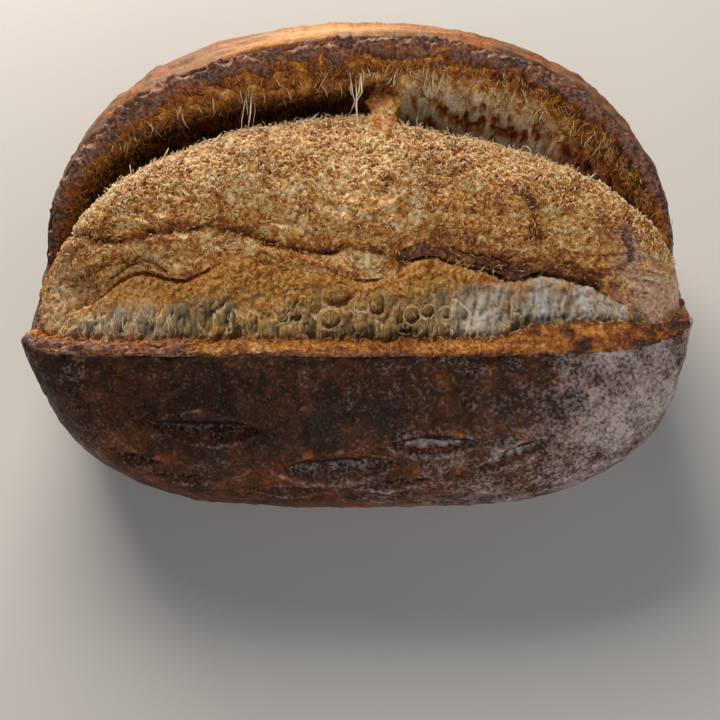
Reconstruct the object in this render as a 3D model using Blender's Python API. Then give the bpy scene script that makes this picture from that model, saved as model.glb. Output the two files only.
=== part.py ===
"""An oval loaf of crusty whole wheat bread, slashed once along its length.

The slash has opened in the oven. The outer crust is a bowl whose edge is the low front lip
and the tall back ear, and the bloom is the swollen dough that rose out of it.
X runs along the loaf, -Y is the front, +Z is up, and all sizes are in metres.
"""

import math

import bmesh
import bpy
from mathutils import Matrix, Vector, noise

# The crust below its edge
HALF_LENGTH = 0.1185
HALF_WIDTH = 0.0865
BELT_POWER = {"front": 3.2, "back": 2.8}
BELT_HEIGHT = {"front": 0.027, "end": 0.034, "back": 0.050}
BASE_SHARE = 0.80
BACK_TAPER = 0.04
UPPER_TURN = {"front": math.radians(60), "back": math.radians(82)}
BASE_STEPS = 6
SIDE_STEPS = 10

# The crust's edge: the front lip, the ends and the back ear
EDGE_HALF_LENGTH = 0.1170
LIP_REACH = 0.0505
LIP_POWER = 4.6
LIP_HEIGHT = 0.063
EAR_REACH = 0.0590
EAR_POWER = 2.1
EAR_SLOPE_POWER = 1.1
EAR_HEIGHT = 0.103
END_HEIGHT = 0.044
TIP_ANGLE = math.radians(20)
TIP_FLARE = 0.0020
TIP_RISE = 0.0030
TIP_SPREAD = 0.15

# The torn wall inside the edge, and the floor of the bowl, which the bloom hides
RIM_WIDTH = 0.0050
RIM_CROWN = 0.0008
RIM_SLOPE = 0.0010
END_WALL = 0.010
FRONT_WALL = 0.016
EAR_WALL = 0.040
EAR_CAVE = 0.005
WALL_LEAN = ((0.18, 0.0030), (0.42, 0.0055), (0.68, 0.0035), (1.0, 0.0080))
BOWL_MIDDLE = 0.030
FLOOR_STEPS = ((0.75, 0.034), (0.45, 0.032))
SPINE = 0.070

# The bloom at the loaf's middle: its foot behind the lip, its torn ridge, its crown and its back
FOOT = (-0.0470, 0.0580)
FOOT_DEPTH = 0.008
RIDGE = (-0.0220, 0.0760)
RIDGE_OVERHANG = 0.0022
RIDGE_ROLL = (0.007, 0.0040)
RIDGE_HALF_LENGTH = 0.086
RIDGE_FADE = 0.006
CROWN_HEIGHT = 0.0925
CROWN_DROP = 0.0035
BACK = (0.0365, 0.0830)
BACK_SKEW = 0.0080
GAP_FLOOR = 0.060
GAP_RISE = 0.008
UNDER = 0.024

# The bloom's two ends
BLOOM_HALF_LENGTH = 0.1145
BLOOM_END = (-0.0180, 0.0480)

# Tongues of skin that hang from the ridge over the crumb: place along X, reach forwards, half width
TONGUES = (
    (-0.080, -0.0040, 0.010),
    (-0.060, 0.0045, 0.010),
    (-0.041, -0.0060, 0.010),
    (0.003, 0.0055, 0.014),
    (0.021, -0.0050, 0.011),
    (0.051, 0.0045, 0.008),
    (0.076, 0.0020, 0.012),
)

# Leaf-shaped cuts in the front crust: place along X, height, length, width and tilt in degrees
LEAVES = (
    (-0.051, 0.054, 0.036, 0.0054, 0),
    (-0.076, 0.043, 0.018, 0.0052, 8),
    (-0.060, 0.039, 0.022, 0.0060, 8),
    (-0.008, 0.046, 0.042, 0.0090, 4),
    (-0.024, 0.037, 0.027, 0.0060, 4),
    (0.024, 0.052, 0.030, 0.0054, 1),
    (0.050, 0.048, 0.028, 0.0058, 15),
    (0.013, 0.040, 0.026, 0.0052, 8),
)
LEAF_DEPTH = 0.0026

# Uneven rise of the dough
WAVE_HEIGHT = 0.0016
WAVE_LENGTH = 0.030
CRAG_HEIGHT = 0.0011
CRAG_LENGTH = 0.009
CALM_REACH = 0.020
MOST_OF_AN_EDGE = 0.22
TORN_ABOVE = 0.050
TORN_BEHIND = -0.054
CALM_CRAGS = 0.25

# Mesh density
CRUST_SEGMENTS = 88
BLOOM_SLICES = 62
ARCH_POINTS = 8


def mix(a, b, share):
    return a + (b - a) * share


def signed_power(value, power):
    """The coordinate of a superellipse: power 2 is an ellipse, and more is boxier."""
    return math.copysign(abs(value) ** (2 / power), value)


def rounded(share, power):
    """1 at the loaf's middle and 0 at its end, falling steeply at the end as a round nose does."""
    return max(1 - share**power, 0) ** 0.5


def right_share(x):
    """0 on the loaf's left and 1 on its right, where the back lies further forward."""
    return 0.5 + 0.5 * math.tanh((x - 0.020) / 0.020)


def ring_weights(angle):
    """How much a place round the loaf belongs to its front and to its back."""
    s = math.sin(angle)
    return max(-s, 0.0) ** 1.5, max(s, 0.0) ** 1.5


def belt_point(angle):
    """The widest line of the loaf."""
    front, back = ring_weights(angle)
    power = BELT_POWER["back" if math.sin(angle) > 0 else "front"]
    z = BELT_HEIGHT["end"]
    z += (BELT_HEIGHT["front"] - z) * front + (BELT_HEIGHT["back"] - z) * back
    x = HALF_LENGTH * signed_power(math.cos(angle), power)
    y = HALF_WIDTH * signed_power(math.sin(angle), power)
    if y > 0:
        y *= 1 - BACK_TAPER * right_share(x)
    return Vector((x, y, z))


def tip_share(angle):
    """1 at the two tips of the front lip, where the crust flares out, and 0 away from them."""
    if angle > 0:
        return 0.0
    turn = min(-angle, math.pi + angle)
    return math.exp(-(((turn - TIP_ANGLE) / TIP_SPREAD) ** 2))


def edge_point(angle):
    """The edge of the crust, for an angle from -pi to pi: the lip in front and the ear behind."""
    s = math.sin(angle)
    power, reach = (EAR_POWER, EAR_REACH) if s > 0 else (LIP_POWER, LIP_REACH)
    x_share, y_share = signed_power(math.cos(angle), power), signed_power(s, power)
    if s > 0:
        z = mix(END_HEIGHT, EAR_HEIGHT, y_share**EAR_SLOPE_POWER)
    else:
        z = mix(END_HEIGHT, LIP_HEIGHT, max(1 - x_share**8, 0) ** 0.5)
    tip = tip_share(angle)
    x = (EDGE_HALF_LENGTH + TIP_FLARE * tip) * x_share
    return Vector((x, reach * y_share, z + TIP_RISE * tip))


def outer_side(angle):
    """Points of the crust's outer side, from the middle of the base out and up to the edge."""
    back = ring_weights(angle)[1]
    belt, edge = belt_point(angle), edge_point(angle)
    base = Vector((belt.x * BASE_SHARE, belt.y * BASE_SHARE, 0))
    points = [base * share for share in (0.4, 0.8)]
    for k in range(BASE_STEPS):
        turn = math.radians(90) * k / (BASE_STEPS - 1)
        out = mix(base, belt, math.sin(turn) ** 0.9)
        points.append(Vector((out.x, out.y, belt.z * (1 - math.cos(turn)))))
    last = mix(UPPER_TURN["front"], UPPER_TURN["back"], back)
    for k in range(1, SIDE_STEPS + 1):
        turn = last * k / SIDE_STEPS
        side = mix(belt, edge, (1 - math.cos(turn)) / (1 - math.cos(last)))
        side.z = mix(belt.z, edge.z, math.sin(turn) / math.sin(last))
        points.append(side)
    return points


def inner_side(angle):
    """Points from the edge over the rim, down the torn wall and along the bowl's floor."""
    front, back = ring_weights(angle)
    edge = edge_point(angle)
    spine = Vector((max(-SPINE, min(SPINE, edge.x)), 0, 0))
    inward = Vector((spine.x - edge.x, -edge.y, 0)).normalized()
    rim = edge + inward * RIM_WIDTH + Vector((0, 0, RIM_SLOPE * (front - back)))
    points = [mix(edge, rim, 0.5) + Vector((0, 0, RIM_CROWN)), rim]
    depth = END_WALL + (FRONT_WALL - END_WALL) * front + (EAR_WALL - END_WALL) * back
    for share, lean in WALL_LEAN:
        step = lean * (0.4 + 0.9 * back) - EAR_CAVE * back * math.sin(math.pi * share)
        points.append(rim + inward * step - Vector((0, 0, depth * share)))
    foot = points[-1]
    for share, height in FLOOR_STEPS:
        point = mix(spine * 0.9, foot, share)
        points.append(Vector((point.x, point.y, height)))
    return points


def crust_profile(angle):
    return outer_side(angle) + inner_side(angle)


def tongue_reach(x):
    """How far the ridge hangs forwards at x, beyond its even line."""
    return sum(reach * math.exp(-(((x - place) / width) ** 2)) for place, reach, width in TONGUES)


def ridge_outline(x):
    """The front of the bloom at x as (y, z): up the crumb, out under the torn ridge and over it."""
    y, z = RIDGE
    y -= tongue_reach(x)
    foot_y, foot_z = FOOT
    roll_y, roll_z = RIDGE_ROLL
    return [
        (foot_y, foot_z - FOOT_DEPTH),
        (foot_y + 0.001, foot_z),
        (mix(foot_y, RIDGE[0], 0.30), mix(foot_z, z, 0.18)),
        (mix(foot_y, RIDGE[0], 0.55), mix(foot_z, z, 0.36)),
        (mix(foot_y, y, 0.80), mix(foot_z, z, 0.54)),
        (y + RIDGE_OVERHANG * 0.8, mix(foot_z, z, 0.72)),
        (y - RIDGE_OVERHANG * 0.4, mix(foot_z, z, 0.88)),
        (y - RIDGE_OVERHANG * 0.6, z),
        (y + 0.3 * roll_y, z + 0.65 * roll_z),
        (y + roll_y, z + roll_z),
    ]


def plain_outline(count):
    """The front of the bloom where the ridge has run out: one even swell from the foot upwards."""
    foot_y, foot_z = FOOT
    outline = []
    for k in range(count):
        part = k / (count - 1)
        y = mix(foot_y, RIDGE[0] + RIDGE_ROLL[0], 1 - math.cos(part * math.pi / 2))
        outline.append((y, mix(foot_z - FOOT_DEPTH, RIDGE[1] + 1.5 * RIDGE_ROLL[1], part**0.9)))
    return outline


def bloom_section(x):
    """The bloom's closed outline across the loaf at x, as (y, z), from under the lip round over the top."""
    share = abs(x) / BLOOM_HALF_LENGTH
    low, tall, deep = rounded(share, 10), rounded(share, 2.5), rounded(share, 1.8)
    fold = 1 / (1 + math.exp((abs(x) - RIDGE_HALF_LENGTH) / RIDGE_FADE))
    back_y, back_z = BACK[0] - BACK_SKEW * right_share(x), BACK[1]
    gap_floor = GAP_FLOOR + GAP_RISE * right_share(x)

    def at(y, z, y_part, z_part):
        return mix(BLOOM_END[0], y, y_part), mix(BLOOM_END[1], z, z_part)

    outline = [at(0.0, UNDER, deep, low), at(FOOT[0] + 0.006, UNDER, low, low)]
    front = ridge_outline(x)
    plain = plain_outline(len(front))
    for k, (torn, swollen) in enumerate(zip(front, plain)):
        part = k / (len(front) - 1)
        y, z = mix(swollen[0], torn[0], fold), mix(swollen[1], torn[1], fold)
        outline.append(at(y, z, mix(low, tall, 0.7 * part), mix(low, tall, min(2 * part, 1))))
    start_y, start_z = mix(plain[-1][0], front[-1][0], fold), front[-1][1]
    for k in range(1, ARCH_POINTS + 1):
        part = k / ARCH_POINTS
        rise = math.sin(math.pi * (part * 0.60 + 0.02)) ** 0.8
        y = mix(start_y, back_y - 0.004, part)
        z = mix(start_z, CROWN_HEIGHT, rise) - CROWN_DROP * part**3
        outline.append(at(y, z, mix(mix(low, tall, 0.7), deep, part), tall))
    outline += [
        at(back_y, back_z, deep, tall),
        at(back_y + 0.0010, mix(back_z, gap_floor, 0.5), deep, tall),
        at(back_y + 0.0040, gap_floor, deep, tall),
        at(back_y + 0.0080, gap_floor - 0.008, deep, tall),
        at(back_y - 0.006, UNDER, deep, low),
    ]
    return outline


def uneven(point, height, length, seed):
    """A smooth random height between -height and height, the same each run."""
    return height * noise.noise(point / length + Vector((seed, 2.7 * seed, -seed)))


def roughen(mesh):
    """Moves each point along its normal, by a slow wave of the dough and, near the tears, by crags."""
    mesh.normal_update()
    moves = []
    for vert in mesh.verts:
        p = vert.co
        torn = 1.0 if p.z > TORN_ABOVE and p.y > TORN_BEHIND else CALM_CRAGS
        lift = uneven(p, WAVE_HEIGHT, WAVE_LENGTH, 4.0) + uneven(p, CRAG_HEIGHT * torn, CRAG_LENGTH, 9.0)
        most = MOST_OF_AN_EDGE * min(edge.calc_length() for edge in vert.link_edges)
        calm = min(p.z / CALM_REACH, (HALF_LENGTH - abs(p.x)) / CALM_REACH, 1.0)
        moves.append(vert.normal * max(-most, min(most, lift)) * max(calm, 0.0))
    for vert, move in zip(mesh.verts, moves):
        vert.co += move


def ball(name, segments, rings):
    """A sphere whose rows of points, from pole to pole, are then moved onto the real outline."""
    mesh = bmesh.new()
    bmesh.ops.create_uvsphere(mesh, u_segments=segments, v_segments=rings, radius=1)
    return mesh, bpy.data.objects.new(name, bpy.data.meshes.new(name))


def finish(mesh, obj, collection):
    """Turns the faces outwards, roughens the shape and puts it in its collection."""
    bmesh.ops.recalc_face_normals(mesh, faces=mesh.faces)
    if mesh.calc_volume(signed=True) < 0:
        bmesh.ops.reverse_faces(mesh, faces=mesh.faces)
    roughen(mesh)
    mesh.to_mesh(obj.data)
    mesh.free()
    collection.objects.link(obj)
    return obj


def make_crust(collection):
    """The bowl of crust: a sphere whose south pole is the base's middle and north pole the bowl's floor."""
    steps = len(crust_profile(0.0))
    mesh, obj = ball("loaf", CRUST_SEGMENTS, steps + 1)
    for vert in mesh.verts:
        angle = math.atan2(vert.co.y, vert.co.x)
        height = max(-1.0, min(1.0, vert.co.z))
        row = round((math.asin(height) / math.pi + 0.5) * (steps + 1))
        if row == 0:
            vert.co = Vector((0, 0, 0))
        elif row == steps + 1:
            vert.co = Vector((0, 0, BOWL_MIDDLE))
        else:
            vert.co = crust_profile(angle)[row - 1]
    return finish(mesh, obj, collection)


def make_bloom(collection):
    """The swollen dough: a sphere with its poles at the two ends of the loaf."""
    around = len(bloom_section(0.0))
    mesh, obj = ball("bloom", around, BLOOM_SLICES)
    for vert in mesh.verts:
        x = BLOOM_HALF_LENGTH * max(-1.0, min(1.0, vert.co.z))
        column = round(math.atan2(vert.co.y, vert.co.x) / (2 * math.pi) * around) % around
        vert.co = Vector((x, *bloom_section(x)[column]))
    return finish(mesh, obj, collection)


def make_leaf_cutter(index, leaf, loaf, collection):
    """A slim pointed lens that bites one leaf-shaped cut out of the crust."""
    x, height, length, width, tilt = leaf
    _hit, place, out, _face = loaf.ray_cast(Vector((x, -2 * HALF_WIDTH, height)), Vector((0, 1, 0)))
    along = (Vector((1, 0, 0)) - out * out.x).normalized()
    turn = Matrix((along, out.cross(along), out)).transposed()
    turn = turn @ Matrix.Rotation(math.radians(tilt), 3, "Z")

    mesh = bmesh.new()
    bmesh.ops.create_uvsphere(mesh, u_segments=10, v_segments=8, radius=1)
    for vert in mesh.verts:
        point = math.asin(max(-1.0, min(1.0, vert.co.z))) / (math.pi / 2)
        vert.co = Vector((point * length / 2, vert.co.y * width / 2, -vert.co.x * LEAF_DEPTH))
    bmesh.ops.transform(mesh, matrix=Matrix.Translation(place) @ turn.to_4x4(), verts=mesh.verts)
    bmesh.ops.recalc_face_normals(mesh, faces=mesh.faces)

    name = f"leaf_cutter_{index}"
    cutter = bpy.data.objects.new(name, bpy.data.meshes.new(name))
    mesh.to_mesh(cutter.data)
    mesh.free()
    cutter.hide_render = True
    cutter.display_type = "WIRE"
    collection.objects.link(cutter)


def make_material():
    """Baked brown crust, matt with a faint gloss."""
    material = bpy.data.materials.new("baked_crust")
    material.use_nodes = True
    shader = material.node_tree.nodes["Principled BSDF"]
    shader.inputs["Base Color"].default_value = (0.27, 0.12, 0.045, 1)
    shader.inputs["Roughness"].default_value = 0.6
    shader.inputs["Metallic"].default_value = 0.0
    return material


def apply_modifiers(obj):
    """Keeps the evaluated shape as the object's own mesh."""
    bpy.context.view_layer.update()
    graph = bpy.context.evaluated_depsgraph_get()
    shape = bpy.data.meshes.new_from_object(obj.evaluated_get(graph))
    obj.modifiers.clear()
    obj.data = shape
    bpy.context.view_layer.update()


def centre(obj):
    """Moves the mesh along X and Y so that the middle of its box is over the origin."""
    low, high = Vector(obj.bound_box[0]), Vector(obj.bound_box[6])
    middle = (low + high) / 2
    obj.data.transform(Matrix.Translation((-middle.x, -middle.y, 0)))
    bpy.context.view_layer.update()


def new_collection(name):
    collection = bpy.data.collections.new(name)
    bpy.context.scene.collection.children.link(collection)
    return collection


def main():
    for obj in list(bpy.data.objects):
        bpy.data.objects.remove(obj)
    loaf_parts = new_collection("whole_wheat_loaf")
    cutters = new_collection("cutters")

    loaf = make_crust(loaf_parts)
    bloom = make_bloom(loaf_parts)
    join = loaf.modifiers.new("bloom", "BOOLEAN")
    join.operation = "UNION"
    join.object = bloom
    apply_modifiers(loaf)
    bpy.data.objects.remove(bloom)
    centre(loaf)

    for index, leaf in enumerate(LEAVES):
        make_leaf_cutter(index, leaf, loaf, cutters)
    cut = loaf.modifiers.new("leaf_cuts", "BOOLEAN")
    cut.operation = "DIFFERENCE"
    cut.operand_type = "COLLECTION"
    cut.collection = cutters

    loaf.data.materials.clear()
    loaf.data.materials.append(make_material())
    loaf.data.shade_smooth()
    loaf.data.set_sharp_from_angle(angle=math.radians(50))


main()
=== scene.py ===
"""The looks of one whole wheat loaf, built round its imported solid.

X runs along the loaf, -Y is its front and +Z is up. Sizes are in metres.
"""

import math
from types import SimpleNamespace

import bpy
import numpy as np
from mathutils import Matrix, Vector


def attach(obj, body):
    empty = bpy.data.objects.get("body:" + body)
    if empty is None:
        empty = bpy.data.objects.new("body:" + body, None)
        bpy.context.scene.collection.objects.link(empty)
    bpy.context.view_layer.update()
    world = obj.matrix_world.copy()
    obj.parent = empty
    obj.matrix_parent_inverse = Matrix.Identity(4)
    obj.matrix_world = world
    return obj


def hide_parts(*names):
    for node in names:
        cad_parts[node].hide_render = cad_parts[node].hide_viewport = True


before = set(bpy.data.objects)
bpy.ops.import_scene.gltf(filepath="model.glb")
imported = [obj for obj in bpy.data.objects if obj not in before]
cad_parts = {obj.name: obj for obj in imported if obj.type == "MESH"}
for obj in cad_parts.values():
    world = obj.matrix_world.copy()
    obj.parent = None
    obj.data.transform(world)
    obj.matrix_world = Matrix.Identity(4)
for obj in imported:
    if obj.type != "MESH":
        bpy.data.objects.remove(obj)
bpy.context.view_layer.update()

MM = 0.001

# Steps of a curve in each quarter turn, how often the meshes are divided, and a point's place in plan
CURVE_POINTS = 500
REFINED = 2
LEVEL = (1, 1, 0)

# The crust below its edge, close to the solid's
HALF_LENGTH = 0.1185
HALF_WIDTH = 0.0865
BELT_POWER_FRONT = 3.2
BELT_POWER_BACK = 2.8
BELT_HEIGHT_FRONT = 0.027
BELT_HEIGHT_END = 0.034
BELT_HEIGHT_BACK = 0.050
BASE_SHARE = 0.80
BACK_TAPER = 0.04
UPPER_TURN_FRONT = math.radians(60)
UPPER_TURN_BACK = math.radians(82)
TO_THE_MIDDLE = 0.0004

# The crust's edge: the front lip, the ends and the back ear
EDGE_HALF_LENGTH = 0.1170
LIP_REACH = 0.0505
LIP_POWER = 4.6
LIP_POWER_LEFT = 7.5
LIP_HEIGHT = 0.063
EAR_REACH = 0.0590
EAR_POWER = 2.1
EAR_SLOPE_POWER = 1.1
EAR_HEIGHT = 0.1025
EAR_DIP = 0.0045
END_HEIGHT = 0.044
TIP_ANGLE = math.radians(20)
TIP_FLARE = 0.0020
TIP_RISE = 0.0030
TIP_SPREAD = 0.15

# The torn wall inside the edge
RIM_WIDTH = 0.0050
RIM_CROWN = 0.0008
RIM_SLOPE = 0.0010
END_WALL = 0.010
FRONT_WALL = 0.016
EAR_WALL = 0.040
EAR_CAVE = 0.005
WALL_LEAN = ((0.18, 0.0030), (0.42, 0.0055), (0.68, 0.0035), (1.0, 0.0080))
SPINE = 0.070

# The bloom at the loaf's middle
FOOT = (-0.0470, 0.0580)
FOOT_DEPTH = 0.008
RIDGE = (-0.0220, 0.0760)
RIDGE_OVERHANG = 0.0022
RIDGE_ROLL = (0.007, 0.0040)
RIDGE_HALF_LENGTH = 0.086
RIDGE_FADE = 0.006
CROWN_HEIGHT = 0.0925
CROWN_DROP = 0.0035
BACK = (0.0365, 0.0830)
BACK_SKEW = 0.0080
GAP_FLOOR = 0.060
GAP_RISE = 0.008
UNDER = 0.024
BLOOM_HALF_LENGTH = 0.1145
BLOOM_END = (-0.0180, 0.0480)

# Tongues of skin on the ridge: place along X, reach forwards, half width
TONGUES = (
    (-0.080, -0.0040, 0.010),
    (-0.060, 0.0045, 0.010),
    (-0.041, -0.0060, 0.010),
    (0.003, 0.0055, 0.014),
    (0.021, -0.0050, 0.011),
    (0.051, 0.0045, 0.008),
    (0.076, 0.0020, 0.012),
)

# Leaf-shaped cuts: centre on the crust, length, width, rise along X, and how much flour they hold
LEAVES = (
    ((-0.0512, -0.0682, 0.0525), 0.038, 0.0058, 0.00, 0.10),
    ((-0.0769, -0.0761, 0.0405), 0.018, 0.0052, 0.14, 0.15),
    ((-0.0606, -0.0805, 0.0361), 0.024, 0.0060, 0.14, 0.10),
    ((-0.0081, -0.0765, 0.0432), 0.042, 0.0088, 0.07, 0.30),
    ((-0.0242, -0.0838, 0.0343), 0.028, 0.0058, 0.07, 0.00),
    ((0.0243, -0.0701, 0.0495), 0.030, 0.0054, 0.02, 0.85),
    ((0.0505, -0.0752, 0.0455), 0.028, 0.0058, 0.26, 0.95),
    ((0.0129, -0.0818, 0.0374), 0.026, 0.0050, 0.14, 0.15),
)
LEAF_DEPTH = 0.0030


# Small tools


def mix(a, b, share):
    return a + (b - a) * share


def smooth_step(low, high, value):
    """0 below low and 1 above high, with a soft rise between."""
    share = np.clip((value - low) / (high - low), 0, 1)
    return share * share * (3 - 2 * share)


def signed_power(value, power):
    """The coordinate of a superellipse: power 2 is an ellipse, and more is boxier."""
    return np.copysign(np.abs(value) ** (2 / power), value)


def rounded(share, power):
    return np.maximum(1 - share**power, 0) ** 0.5


def right_share(x):
    """0 on the loaf's left and 1 on its right."""
    return 0.5 + 0.5 * np.tanh((x - 0.020) / 0.020)


def hill(x, middle, half_width):
    """1 at the middle, with soft slopes to 0 on both sides."""
    return np.exp(-(((x - middle) / half_width) ** 2))


def near_line(x, y, line):
    """Distance in plan from a line of points."""
    nearest = np.full(len(x), 1.0)
    for (x0, y0), (x1, y1) in zip(line, line[1:]):
        run = np.array([x1 - x0, y1 - y0])
        share = np.clip(((x - x0) * run[0] + (y - y0) * run[1]) / (run @ run), 0, 1)
        nearest = np.minimum(nearest, np.hypot(x - x0 - share * run[0], y - y0 - share * run[1]))
    return nearest


# Noise, the same each run


def cell_numbers(cells, seed):
    """A number from 0 to 1 for each cell of a lattice."""
    c = cells.astype(np.int64) & 0xFFFFFFFF
    n = c[..., 0] * 73856093 ^ c[..., 1] * 19349663 ^ c[..., -1] * 83492791 ^ seed * 2654435761
    n &= 0xFFFFFFFF
    n = ((n ^ (n >> 15)) * 2246822519) & 0xFFFFFFFF
    n = ((n ^ (n >> 13)) * 3266489917) & 0xFFFFFFFF
    return (n ^ (n >> 16)) / 0xFFFFFFFF


def waves(points, seed):
    """Smooth noise from about -1 to 1, with hills one unit apart."""
    base = np.floor(points)
    part = points - base
    fade = part**3 * (part * (part * 6 - 15) + 10)
    total = np.zeros(len(points))
    for corner in np.ndindex(2, 2, 2):
        away = part - corner
        weight = np.prod(np.where(np.array(corner) == 1, fade, 1 - fade), axis=1)
        for axis in range(3):
            slope = cell_numbers(base + corner, seed * 7 + axis) * 2 - 1
            total += weight * slope * away[:, axis]
    return total * 1.6


def rough(points, length, seed, octaves=3, gain=0.55):
    """Noise of several sizes, the largest of the given length in metres or in three of them."""
    scaled = points / np.array(length)
    total, size = np.zeros(len(points)), 1.0
    for octave in range(octaves):
        total += waves(scaled * 2**octave + 17.3 * octave, seed + octave) * size
        size *= gain
    return total


def scattered_cells(points, seed, jitter=0.9):
    """Distances in a plane to the nearest and the next scattered centre, and the nearest one's number."""
    base = np.floor(points)
    first = np.full(len(points), 9.0)
    second = np.full(len(points), 9.0)
    number = np.zeros(len(points))
    for step in np.ndindex(3, 3):
        cell = base + np.array(step) - 1
        centre = cell + 0.5
        for axis in range(2):
            centre[:, axis] += (cell_numbers(cell, seed * 5 + axis) - 0.5) * jitter
        away = np.linalg.norm(points - centre, axis=1)
        nearer = away < first
        second = np.where(nearer, first, np.minimum(second, away))
        number = np.where(nearer, cell_numbers(cell, seed * 5 + 3), number)
        first = np.minimum(first, away)
    return first, second, number


# Meshes


def select_only(piece):
    bpy.ops.object.select_all(action="DESELECT")
    piece.select_set(True)
    bpy.context.view_layer.objects.active = piece


def add_ball(name, columns, rows):
    bpy.ops.object.select_all(action="DESELECT")
    bpy.ops.mesh.primitive_uv_sphere_add(segments=columns, ring_count=rows + 1, radius=1)
    piece = bpy.context.object
    piece.name = piece.data.name = name
    return piece


def add_hoop(name, columns, rows):
    bpy.ops.object.select_all(action="DESELECT")
    bpy.ops.mesh.primitive_torus_add(
        major_segments=columns, minor_segments=rows, major_radius=1, minor_radius=0.25
    )
    piece = bpy.context.object
    piece.name = piece.data.name = name
    return piece


def points_of(piece):
    points = np.empty(len(piece.data.vertices) * 3, np.float32)
    piece.data.vertices.foreach_get("co", points)
    return points.reshape(-1, 3).astype(float)


def normals_of(piece):
    normals = np.empty(len(piece.data.vertices) * 3, np.float32)
    piece.data.vertex_normals.foreach_get("vector", normals)
    return normals.reshape(-1, 3).astype(float)


def move_points(piece, points):
    piece.data.vertices.foreach_set("co", points.astype(np.float32).ravel())
    piece.data.update()


def lift(piece, heights):
    """Raises each point along its normal."""
    move_points(piece, points_of(piece) + normals_of(piece) * heights[:, None])


def keep_values(piece, name, values):
    """Keeps a number for each point, which the material reads."""
    attribute = piece.data.attributes.get(name)
    if attribute is None:
        attribute = piece.data.attributes.new(name, "FLOAT", "POINT")
    attribute.data.foreach_set("value", np.asarray(values, np.float32))


def values_of(piece, name):
    values = np.empty(len(piece.data.vertices), np.float32)
    piece.data.attributes[name].data.foreach_get("value", values)
    return values.astype(float)


def apply(piece, modifier):
    select_only(piece)
    bpy.ops.object.modifier_apply(modifier=modifier.name)


def refine(piece, levels):
    """Rounds and divides the mesh, so that it can carry fine relief."""
    modifier = piece.modifiers.new("refine", "SUBSURF")
    modifier.levels = modifier.render_levels = levels
    apply(piece, modifier)


def face_outwards(piece):
    select_only(piece)
    bpy.ops.object.mode_set(mode="EDIT")
    bpy.ops.mesh.select_all(action="SELECT")
    bpy.ops.mesh.normals_make_consistent(inside=False)
    bpy.ops.object.mode_set(mode="OBJECT")


def shape_ball(ball, grid, south, north):
    """Moves a ball's rows of points, from its south pole to its north pole, onto the rows of a grid."""
    points = points_of(ball)
    rows, columns = grid.shape[:2]
    up = np.arcsin(np.clip(points[:, 2], -1, 1)) / math.pi + 0.5
    row = np.rint(up * (rows + 1)).astype(int)
    turn = np.arctan2(points[:, 1], points[:, 0]) / (2 * math.pi) + 0.5
    column = np.rint(turn * columns).astype(int) % columns
    shaped = grid[np.clip(row - 1, 0, rows - 1), column]
    shaped[row == 0] = south
    shaped[row == rows + 1] = north
    move_points(ball, shaped)
    keep_values(ball, "row", row)
    keep_values(ball, "column", column)
    face_outwards(ball)


def shape_hoop(hoop, grid):
    """Moves a torus's rows of points onto the rows of a grid, each of which runs once round the loaf."""
    points = points_of(hoop)
    rows, columns = grid.shape[:2]
    turn = np.arctan2(points[:, 1], points[:, 0]) / (2 * math.pi) + 0.5
    column = np.rint(turn * columns).astype(int) % columns
    out = np.hypot(points[:, 0], points[:, 1]) - 1
    row = np.rint((np.arctan2(points[:, 2], out) / (2 * math.pi) + 0.5) * rows).astype(int) % rows
    move_points(hoop, grid[row, column])
    keep_values(hoop, "row", row)
    face_outwards(hoop)


def finish_piece(piece, material):
    select_only(piece)
    bpy.ops.object.shade_smooth()
    piece.data.materials.clear()
    piece.data.materials.append(material)
    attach(piece, "root")
    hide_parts("loaf")


# The curves of the loaf


def angles_round(count):
    """Angles once round the loaf, close together beside each quarter turn, where the curves run fast."""
    share = np.arange(count) / count
    eased = share**2.4 / (share**2.4 + (1 - share) ** 2.4)
    return np.concatenate([(turn + eased) * math.pi / 2 for turn in (-2, -1, 0, 1)])


def evenly_round(row, columns):
    """The same closed curve, with its points evenly spaced within each quarter."""
    quarter = len(row) // 4
    closed = np.vstack([row, row[:1]])
    even = []
    for turn in range(4):
        part = closed[turn * quarter : (turn + 1) * quarter + 1]
        steps = np.linalg.norm(np.diff(part, axis=0), axis=1)
        reach = np.concatenate([[0], np.cumsum(steps)])
        wanted = np.linspace(0, reach[-1], columns // 4, endpoint=False)
        even.append(np.column_stack([np.interp(wanted, reach, part[:, k]) for k in range(3)]))
    return np.vstack(even)


def grid_of(lines, columns):
    """Closed lines round the loaf as rows of evenly spaced points, moved to the loaf's own middle."""
    grid = np.array([evenly_round(line, columns) for line in lines])
    grid[:, :, 1] += TO_THE_MIDDLE
    return grid


def smooth_through(points, places):
    """Points on a smooth curve through the given ones, at places counted in points; many curves at once."""
    last = len(points) - 1
    low = np.clip(np.floor(places).astype(int), 0, last - 1)
    t = (places - low).reshape(-1, *([1] * (points.ndim - 1)))
    a = points[np.maximum(low - 1, 0)]
    b, c = points[low], points[low + 1]
    d = points[np.minimum(low + 2, last)]
    return 0.5 * (2 * b + (c - a) * t + (2 * a - 5 * b + 4 * c - d) * t**2 + (3 * b - a - 3 * c + d) * t**3)


def ring_weights(angle):
    """How much a place round the loaf belongs to its front and to its back."""
    s = np.sin(angle)
    return np.maximum(-s, 0) ** 1.5, np.maximum(s, 0) ** 1.5


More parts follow.
